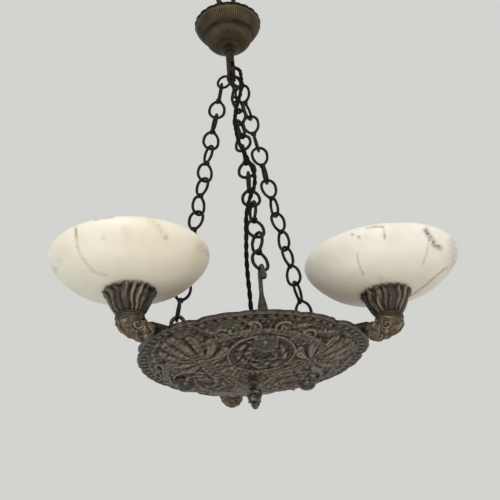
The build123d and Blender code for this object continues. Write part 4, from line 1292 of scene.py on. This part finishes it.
@dataclass
class Finial:
    """Cast drop below the dish: a brown knob and a bud of overlapping leaves."""

    top: float = -29.2
    bud_drop: float = 15.6
    bud_length: float = 28.6
    tiers: float = 3.0
    rows: int = 220
    columns: int = 220

    def build(self) -> bpy.types.Object:
        """Lathe profile with leaves on its lower half.

        Leaf edges are a cosine round the bud that turns by half a leaf from one tier to the next; within a
        tier the radius grows from root to tip, like a saw tooth, and seeded unevenness breaks it up.
        """
        below_top = [(0.0, -3.4), (11.4, -2.8), (12.2, 0.0), (9.0, 2.2), (5.2, 3.6), (5.0, 4.6), (7.4, 6.4),
                     (8.2, 9.2), (7.2, 12.0), (4.8, 13.8), (4.6, 15.0), (7.8, 17.4), (9.4, 21.6), (9.2, 26.6),
                     (7.4, 32.4), (4.8, 38.0), (2.4, 42.2), (0.0, 44.2)]
        profile = smooth_profile([(r, self.top - drop) for r, drop in below_top], self.rows)
        angle = np.linspace(0, 2 * pi, self.columns, endpoint=False)
        r, h = profile[:, :1], profile[:, 1:2]
        down = np.clip((self.top - self.bud_drop - h) / self.bud_length, 0, 1)
        tier = np.floor(down * self.tiers)
        within = down * self.tiers - tier
        leaf = np.abs(np.cos(2.5 * angle + tier * pi / 2 + 0.5 * within)) ** 0.6
        bud = window(h, -400.0, self.top - 16.0, 1.0)
        rough = ripple(angle * 9 + 0 * h, h + 0 * angle, 23, 6.0)
        near_axis = np.clip(r / 5, 0, 1)
        lift = bud * (2.6 * leaf * within**0.7 - 1.0 + 1.1 * rough) * near_axis
        lift += (1 - bud) * 0.25 * rough * near_axis
        radius = np.maximum(r + lift, 0)
        soup = Soup()
        grid = np.stack([radius * np.cos(angle), radius * np.sin(angle), h + 0 * angle], -1)
        # Colour level: lighter where the leaves stand out and darker in the gaps between them, patina with
        # painted shade in the gaps and painted highlight on the tips.
        soup.grid(grid, value=np.clip(0.42 + 0.3 * lift * bud + 0 * angle, 0, 1))
        return dress(soup.object("leafy_finial"), FINIAL_BRONZE, "lamp", "finial_bronze", "finial")


# ---------------------------------------------------------------- bowls
@dataclass(frozen=True)
class Stroke:
    """One vein, stain, dark line or stroke of painted shade: a line in the photograph's pixels, its width in
    pixels and its strength.
    """

    line: tuple[tuple[float, float], ...]
    width: float
    strength: float


@dataclass
class Bowl:
    """Turned alabaster bowl: thick wall, rounded lip, a foot that sits in the cup, and natural veins."""

    seat: float = 46.8
    lip_radius: float = 98.0
    columns: int = 520
    unevenness: float = 0.35
    outer_rows: int = 123
    """Rows of the section, from the bore on, that belong to the outer side."""

    def profile(self) -> np.ndarray:
        """Closed section from the bore out over the outer side, the lip, and down the inner side."""
        parts = [
            [(15.0, 53.2), (15.0, 44.3), (23.4, 44.3), (23.5, self.seat), (29.3, self.seat)],
            smooth_profile([(29.3, self.seat), (45.0, 49.6), (60.0, 54.0), (70.5, 58.9), (78.7, 64.6),
                            (87.6, 73.2), (94.6, 81.6), (98.2, 88.6), (98.2, 92.6), (96.9, 95.2),
                            (94.4, 96.3), (91.9, 96.4), (89.8, 95.4)], 120),
            smooth_profile([(89.4, 94.4), (84.6, 83.4), (78.6, 74.2), (70.8, 66.6), (58.0, 59.4),
                            (44.0, 54.8), (29.5, 53.2), (16.0, 53.2)], 44),
        ]
        return np.concatenate([np.asarray(p, float) for p in parts])

    def veins(self, lamp: Lamp, grid: np.ndarray) -> np.ndarray:
        """Dark veins and stains, with a few strokes of painted shade and shadow, drawn on the side that the
        photograph shows.

        A point's share is a bell curve of its distance on the picture to the stroke's line, where the surface
        faces the camera.

        Args:
            lamp: Which bowl it is.
            grid: The bowl's points in place.

        Returns:
            Share of the vein's colour at each point.
        """
        total = np.zeros(grid.shape[:2])
        at = VIEW.pixels(grid)
        normal = outward(grid)
        toward = np.array(VIEW.place) / MM + np.array([0, 0, RIM_DROP]) - grid
        from_middle = grid - grid.mean((0, 1))
        seen = (normal * toward).sum(-1) * (normal * from_middle).sum(-1) > 0
        lower = np.array([0.0, BOWL_LOWER.get(lamp, 0.0)])
        for stroke in BOWL_STROKES.get(lamp, ()):
            line = np.asarray(stroke.line, float) + lower
            away = np.full(total.shape, np.inf)
            for start, end in zip(line[:-1], line[1:]):
                run = end - start
                share = np.clip(((at - start) @ run) / (run @ run), 0, 1)
                away = np.minimum(away, np.hypot(*np.moveaxis(at - start - share[..., None] * run, -1, 0)))
            total += stroke.strength * bump(away, stroke.width)
        return np.clip(total, 0, 1) * seen

    def build(self, lamp: Lamp) -> bpy.types.Object:
        """One bowl on its lamp's axis, slightly out of round, as hand turning leaves it.

        Args:
            lamp: Which lamp it belongs to.

        Returns:
            The bowl's object.
        """
        section = self.profile()
        grid = lathe(section, self.columns)
        angle = np.linspace(0, 2 * pi, self.columns, endpoint=False)[None, :]
        rise = np.clip((section[:, 1:2] - self.seat - 4) / 40, 0, 1)
        seed = list(Lamp).index(lamp)
        wave = self.unevenness * np.sin(2 * angle + seed)
        wave = wave + 0.5 * self.unevenness * np.sin(3 * angle + 2 * seed)
        grid[..., :2] *= (1 + rise * wave / self.lip_radius)[..., None]
        grid[..., 2] += rise * 0.4 * self.unevenness * np.sin(2 * angle + 1 + seed)
        at = placed(grid, lamp.value, LAMP_OUT)
        outer = np.arange(len(section)) < self.outer_rows
        soup = Soup()
        soup.grid(at, wrap_rows=True, value=self.veins(lamp, at) * outer[:, None])
        name = lamp.name.lower()
        made = soup.object(f"veined_bowl_{name}")
        return dress(made, ALABASTERS[lamp], f"bowl_{name}", "alabaster", f"alabaster_bowl_{name}")


BOWL_STROKES = {
    Lamp.RIGHT: (
        Stroke(((367.5, 222.8), (375, 221.2), (383.6, 221.6), (384.7, 232.6)), 1.1, 0.6),
        Stroke(((352, 228.5), (353, 229)), 1.4, 0.6),
        Stroke(((358.5, 231), (359.8, 232)), 1.3, 0.55),
        Stroke(((357.7, 247.5), (357.7, 254.4), (359.5, 260.1), (363.5, 269.3)), 0.9, 0.4),
        Stroke(((425.5, 224.5), (430, 231.4), (434.7, 239.4), (440.4, 242.3)), 2.6, 0.85),
        Stroke(((428.9, 234.9), (426.6, 248.6), (422, 260)), 1.0, 0.35),
        # Broad warm stroke down the right end: painted shade on the side turned from the light.
        Stroke(((452, 235), (455, 250), (452, 266)), 5.0, 0.3),
        # Dark line that runs parallel to the lower right outline.
        Stroke(((408.4, 291.4), (417.7, 285.6), (428.2, 277.6), (437.5, 268.9), (446.7, 262)), 1.0, 0.65),
        # Short dark line near the foot: a painted shadow.
        Stroke(((335.9, 302.6), (345.1, 306), (361.2, 306.8)), 0.9, 0.5),
        Stroke(((381, 274), (383, 276)), 4.0, 0.2),
    ),
    Lamp.LEFT: (
        Stroke(((75.2, 226.1), (76.4, 236.4)), 1.4, 0.4),
        Stroke(((75.8, 230), (77.6, 248.5), (82.4, 258.2), (93.3, 271.5), (107.9, 275.8)), 1.6, 0.3),
        Stroke(((94.5, 220), (100.6, 218.2), (112.7, 217)), 1.3, 0.45),
        Stroke(((149, 218.2), (156.4, 224.2), (166, 237.6)), 3.2, 0.22),
        Stroke(((165, 237), (166.4, 238.4)), 1.6, 0.28),
        Stroke(((102.6, 237), (103.4, 238.4)), 2.0, 0.22),
        Stroke(((123.6, 229), (127.3, 235)), 4.5, 0.12),
        Stroke(((58.8, 260), (60, 261.4)), 3.4, 0.2),
        Stroke(((55.2, 268), (56.4, 270)), 1.7, 0.35),
        # Broad warm stroke at the right margin: painted shade on the side turned from the light.
        Stroke(((201, 246), (208.5, 253)), 5.5, 0.25),
    ),
}
# Veins, stains and dark lines read off the photograph, as the pixels of their lines; some strokes are painted
# shade and shadow.
"""Veins read off the photograph, as the pixels of their lines."""
BOWL_LOWER = {Lamp.RIGHT: 5.5}
"""Pixels by which a bowl's rim lies lower here than in the photograph, so its veins come down with it."""
ALABASTERS = {
    Lamp.LEFT: VeinedAlabaster("waxed_alabaster_left", "#f3ecdc", "#eae0ca", "#dcc8a6", seed=0.31),
    Lamp.RIGHT: VeinedAlabaster("waxed_alabaster_right", "#f4f0e6", "#ece5d6", "#dccbb0", seed=1.27),
    Lamp.REAR: VeinedAlabaster("waxed_alabaster_rear", "#efe8da", "#e4d9c4", "#cfb794", seed=2.43),
}


# ---------------------------------------------------------------- canopy
@dataclass
class Canopy:
    """Spun ceiling cup: scalloped edge, a reeded band and a reeded dome that runs out smooth at the stem."""

    rim: float = 563.6
    rows: int = 130
    columns: int = 616
    reeds: int = 84
    reed_depth: float = 0.42
    scallops: int = 22
    scallop_depth: float = 1.6

    def build(self) -> bpy.types.Object:
        """Outer side with its reeds and scallops, and a plain inner side, joined at the rim and at the hole.

        Reeds are a cosine round the axis, inside their own ranges of radius; the edge follows a rounded
        cosine.
        """
        outer = np.concatenate([
            np.array([[53.0, self.rim], [53.0, self.rim - 1.6], [52.6, self.rim - 2.8]]),
            smooth_profile([(51.4, 559.9), (48.6, 553.6), (44.6, 547.6), (40.6, 543.2), (38.0, 541.2),
                            (37.3, 539.2), (36.6, 535.4), (33.8, 529.2), (28.4, 523.2), (20.6, 518.4),
                            (12.6, 515.2), (6.9, 513.7)], self.rows),
        ])
        inner = np.array([(6.9, 515.3), (20.0, 518.0), (27.6, 523.0), (33.0, 529.0), (35.4, 536.0),
                          (38.6, 548.0), (44.0, 556.0), (49.4, 560.6), (51.4, self.rim)])
        angle = np.linspace(0, 2 * pi, self.columns, endpoint=False)[None, :]
        r, h = outer[:, :1], outer[:, 1:2]
        scallop = np.abs(np.cos(angle * self.scallops / 2)) ** 0.6
        reed = np.cos(self.reeds * angle)
        band = window(r, 38.4, 49.6, 0.8)
        dome = window(r, 15.0, 36.4, 2.0)
        lift = self.reed_depth * reed * band + 0.4 * reed * dome * np.clip((r - 12) / 22, 0, 1)
        lift -= self.scallop_depth * (1 - scallop) * window(r, 51.2, 60.0, 0.6)
        lift += 0.8 * bump(r - 50.6, 0.5) - 0.4 * bump(r - 37.4, 1.3) + 0.35 * bump(r - 15.0, 0.6)
        ahead = np.gradient(outer, axis=0)
        ahead /= np.linalg.norm(ahead, axis=1)[:, None]
        out = np.stack([-ahead[:, 1], ahead[:, 0]], -1)
        radius = r + out[:, :1] * lift
        height = h + out[:, 1:2] * lift
        rows = np.stack([radius * np.cos(angle), radius * np.sin(angle), height + 0 * angle], -1)
        # Colour level: painted highlight on the reed crests and in a line just inside the rim, painted shade
        # in the reed troughs, the scallops and the rim's edge.
        value = 0.5 + 0.7 * lift - 0.5 * window(r, 51.4, 60.0, 0.4) + 0.5 * bump(r - 50.6, 0.6)
        both = np.concatenate([rows, lathe(inner, self.columns)])
        values = np.concatenate([np.clip(value, 0, 1), np.full((len(inner), self.columns), 0.2)])
        soup = Soup()
        soup.grid(both, wrap_rows=True, value=values, flip=True)
        return dress(soup.object("fluted_canopy"), CANOPY_BRASS, "canopy", "canopy_bronze", "canopy")


# ---------------------------------------------------------------- chains and flex
@dataclass
class Chain:
    """Chain of figure-of-eight links: one wire with two eyes at right angles and a bound, twisted neck."""

    links: int = 7
    length: float = 58.935
    overlap: float = 4.3
    eye_radius: float = 11.3
    wire: float = 4.3
    binding_turns: float = 2.6
    binding_radius: float = 3.5
    binding_height: float = 5.6
    binding_wire: float = 1.1
    ring: tuple[float, float, float] = (12.5, 453.0, 10.5)
    """Top ring: distance of its centre from the centre line, height and radius."""
    ring_share: float = 0.47
    """Radius of the ring's wire as a share of the links' wire."""
    twist: float = 15.0
    """Degrees by which each link is turned from the last."""
    lean: float = 24.0
    """Turn of the first link in degrees."""
    top: tuple[float, float] = (16.74, 447.94)
    end: tuple[float, float] = (105.76, 71.59)
    leg_samples: int = 18
    crown_samples: int = 26

    def centre_line(self) -> np.ndarray:
        """Closed figure of eight, then a quarter turn about its long axis, all of it near the neck.

        A leg is a cubic that leaves the neck at a slant and meets the side of the eye upright; the crown is a
        half circle. The two strands pass side by side at the neck, apart by a bell curve.
        """
        centre = self.length / 2 - self.eye_radius
        t = np.linspace(0, 1, self.leg_samples, endpoint=False)[:, None]
        neck, slant = np.array([0.0, 0.0]), np.array([8.6, 4.2])
        side, rise = np.array([self.eye_radius, centre]), np.array([0.0, -8.6])
        leg = (neck * (1 - t) ** 3 + 3 * (neck + slant) * t * (1 - t) ** 2
               + 3 * (side + rise) * t**2 * (1 - t) + side * t**3)
        around = np.linspace(0, pi, self.crown_samples)
        crown = np.stack([self.eye_radius * np.cos(around), centre + self.eye_radius * np.sin(around)], -1)
        eye = np.concatenate([leg, crown, leg[::-1] * [-1, 1]])[:-1]
        legs = np.ones(len(leg))
        strand = np.concatenate([-legs, np.linspace(-1, 1, len(crown)), legs])[:-1]
        x = np.concatenate([eye[:, 0], eye[:, 0]])
        z = np.concatenate([eye[:, 1], -eye[:, 1]])
        y = np.concatenate([strand, -strand]) * 0.56 * self.wire * bump(z, 5.5)
        turn = pi / 4 * (1 - np.tanh(z / 4.2))
        return np.stack([x * np.cos(turn) - y * np.sin(turn), x * np.sin(turn) + y * np.cos(turn), z], -1)

    def binding(self) -> np.ndarray:
        """Thin wire wound round the neck: a helix whose ends turn in."""
        t = np.linspace(0, 1, 60)
        turn = 2 * pi * self.binding_turns * t
        radius = self.binding_radius - 1.0 * (bump(t, 0.05) + bump(t - 1, 0.05))
        return np.stack([radius * np.cos(turn), radius * np.sin(turn), self.binding_height * (t - 0.5)], -1)

    def build(self, side: ChainSide) -> bpy.types.Object:
        """Links along the straight line from the top ring to the hook, each turned a little from the last.

        Args:
            side: Which chain it is.

        Returns:
            The chain's object.
        """
        top, end = np.array(self.top), np.array(self.end)
        run = end - top
        ahead = np.array([run[0], 0, run[1]]) / hypot(*run)
        start = np.array([top[0], 0, top[1]])
        line, wrap = self.centre_line(), self.binding()
        beat = np.arange(len(line)) * 2 * pi / len(line)
        sideways = np.array([0.0, -1.0, 0.0])
        across = np.cross(-ahead, sideways)
        thin = np.full(len(wrap), self.binding_wire)
        thin[[0, -1]] = 0.0
        soup = Soup()
        for index in range(self.links):
            middle = start + ahead * (self.length / 2 + index * (self.length - self.overlap))
            turn = radians(self.lean + self.twist * index)
            x_axis = cos(turn) * sideways + sin(turn) * across
            frame = np.stack([x_axis, np.cross(-ahead, x_axis), -ahead])
            uneven = 1 + 0.03 * np.sin(5 * beat + index) + 0.02 * np.sin(11 * beat + 2 * index)
            grid, _ = tube(middle + line @ frame, self.wire / 2 * uneven, 14, True)
            soup.grid(placed(grid, side.value, 0.0), wrap_rows=True, flip=True)
            grid, _ = tube(middle + wrap @ frame, thin, 10, False)
            soup.grid(placed(grid, side.value, 0.0), flip=True)
        name = side.name.lower()
        return dress(soup.object(f"wire_chain_{name}"), CHAIN_IRON, "lamp", "iron", f"chain_{name}")

    def top_ring(self, side: ChainSide) -> bpy.types.Object:
        """Ring in the stem's foot: a circle on edge, carried as a wire with hammered unevenness.

        Args:
            side: Which chain it carries.

        Returns:
            The ring's object.
        """
        out, height, radius = self.ring
        around = np.linspace(0, 2 * pi, 64, endpoint=False)
        path = np.stack([out + radius * np.cos(around), 0 * around, height + radius * np.sin(around)], -1)
        grid, _ = tube(path, self.ring_share * self.wire * (1 + 0.03 * np.sin(5 * around)), 16, True)
        soup = Soup()
        soup.grid(placed(grid, side.value, 0.0), wrap_rows=True)
        name = side.name.lower()
        return dress(soup.object(f"wire_ring_{name}"), CHAIN_IRON, "stem", "iron", f"top_ring_{name}")


@dataclass
class Flex:
    """Cotton-braided flex from the stem's slot down into the dish, slack beside the front chain."""

    diameter: float = 6.0
    waist: float = 0.66
    """Least radius of the twisted pair as a share of its largest."""
    lay: float = 26.0
    """Length of one turn of the pair."""
    sides: int = 28
    route: tuple = (
        (5.21, -9.02, 469.39), (10, -21, 457), (9, -31, 438), (8, -37, 414), (2, -43, 385), (-8, -51, 355),
        (-11, -60, 320), (-10, -70, 288), (-3, -80, 258), (5, -88, 228), (4, -94, 203), (-6, -98, 180),
        (-13, -100, 152), (-15, -103, 122), (-17, -104, 95), (-17, -102, 68), (-15, -97, 42), (-13, -87, 20),
        (-7, -73, 2), (-3, -60, -9), (0, -47, -17.14), (0, -34, -17.14),
    )

    def line(self) -> np.ndarray:
        """Points of one NURBS spline that has the route's points as its control points."""
        curve = bpy.data.curves.new("flex_line", "CURVE")
        curve.dimensions = "3D"
        curve.resolution_u = 20
        spline = curve.splines.new("NURBS")
        spline.points.add(len(self.route) - 1)
        for point, (x, y, h) in zip(spline.points, self.route):
            point.co = (x * MM, y * MM, (h - RIM_DROP) * MM, 1.0)
        spline.order_u = 3
        spline.use_endpoint_u = True
        holder = bpy.data.objects.new("flex_line", curve)
        mesh = bpy.data.meshes.new_from_object(holder)
        points = np.empty(3 * len(mesh.vertices))
        mesh.vertices.foreach_get("co", points)
        bpy.data.objects.remove(holder)
        return points.reshape(-1, 3)

    def build(self) -> bpy.types.Object:
        """Two braided cores twisted together along the line, as one section that turns.

        The section's radius is a waist plus the size of a cosine round it, whose phase runs on along the
        line.
        """
        line = self.line()
        path = line / MM + np.array([0, 0, RIM_DROP])
        steps = np.linalg.norm(np.diff(path, axis=0), axis=1)
        run = np.concatenate([[0], np.cumsum(steps)])[:, None]
        _, normal = tube(path, np.ones(len(path)), self.sides, False)
        around = np.linspace(0, 2 * pi, self.sides, endpoint=False)[None, :]
        lobes = np.abs(np.cos(around - 2 * pi * run / self.lay)) ** 1.2
        radius = self.diameter / 2 * (self.waist + (1 - self.waist) * lobes)
        radius[[0, -1]] = 0.0
        soup = Soup()
        soup.grid(path[:, None] + normal * radius[..., None])
        made = dress(soup.object("braided_flex"), BraidedCotton(), "lamp", "flex_cloth", "flex")
        return made


NODE_FINISHES = {
    "suspension_eye": STEM_BRONZE, "stem_tube": STEM_BRONZE, "canopy_collar": STEM_BRONZE,
    "collar_screw": STEEL, "finial_nut": STEEL, "arm_screws": STEEL, "cup_nipples": STEEL, "cup_nuts": STEEL,
    "terminal_block": PORCELAIN, "flex_upper": BraidedCotton(), "arm_wires": WIRE,
    "top_ring": CHAIN_IRON, "chain_hook": HOOK_BRONZE, "arm": ARM_BRONZE, "lampholder": BAKELITE,
    "shade_ring": BAKELITE, "bulb_glass": OPAL, "bulb_cap": NICKEL,
}


def dress_nodes(nodes: dict[str, bpy.types.Object]) -> None:
    """Give each node of the frame that stays in view the finish of its kind.

    Args:
        nodes: The frame's nodes by name.
    """
    for name, node in nodes.items():
        kind = name if name in NODE_FINISHES else name.rsplit("_", 1)[0]
        if kind in NODE_FINISHES:
            node.data.materials.clear()
            node.data.materials.append(MATERIALS.of(NODE_FINISHES[kind]))


def report(piece: bpy.types.Object) -> None:
    """Log a piece's name and how many faces it has."""
    faces = len(piece.data.polygons) if piece.type == "MESH" else 0
    LOG.info("%s: %d faces", piece.name, faces)


def main() -> None:
    """Build the sub-assemblies in order and write how large the dressed model is."""
    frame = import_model()
    studio()
    report(Flex().build())
    dress_nodes(frame["nodes"])
    dish = Dish()
    report(dish.build())
    report(dish.bosses())
    report(Finial().build())
    for lamp in Lamp:
        report(Cup().build(lamp))
        report(Elbow().build(lamp))
        report(Bowl().build(lamp))
    for side in ChainSide:
        report(Chain().build(side))
        report(Chain().top_ring(side))
    report(Canopy().build())


if __name__ == "__main__":
    main()
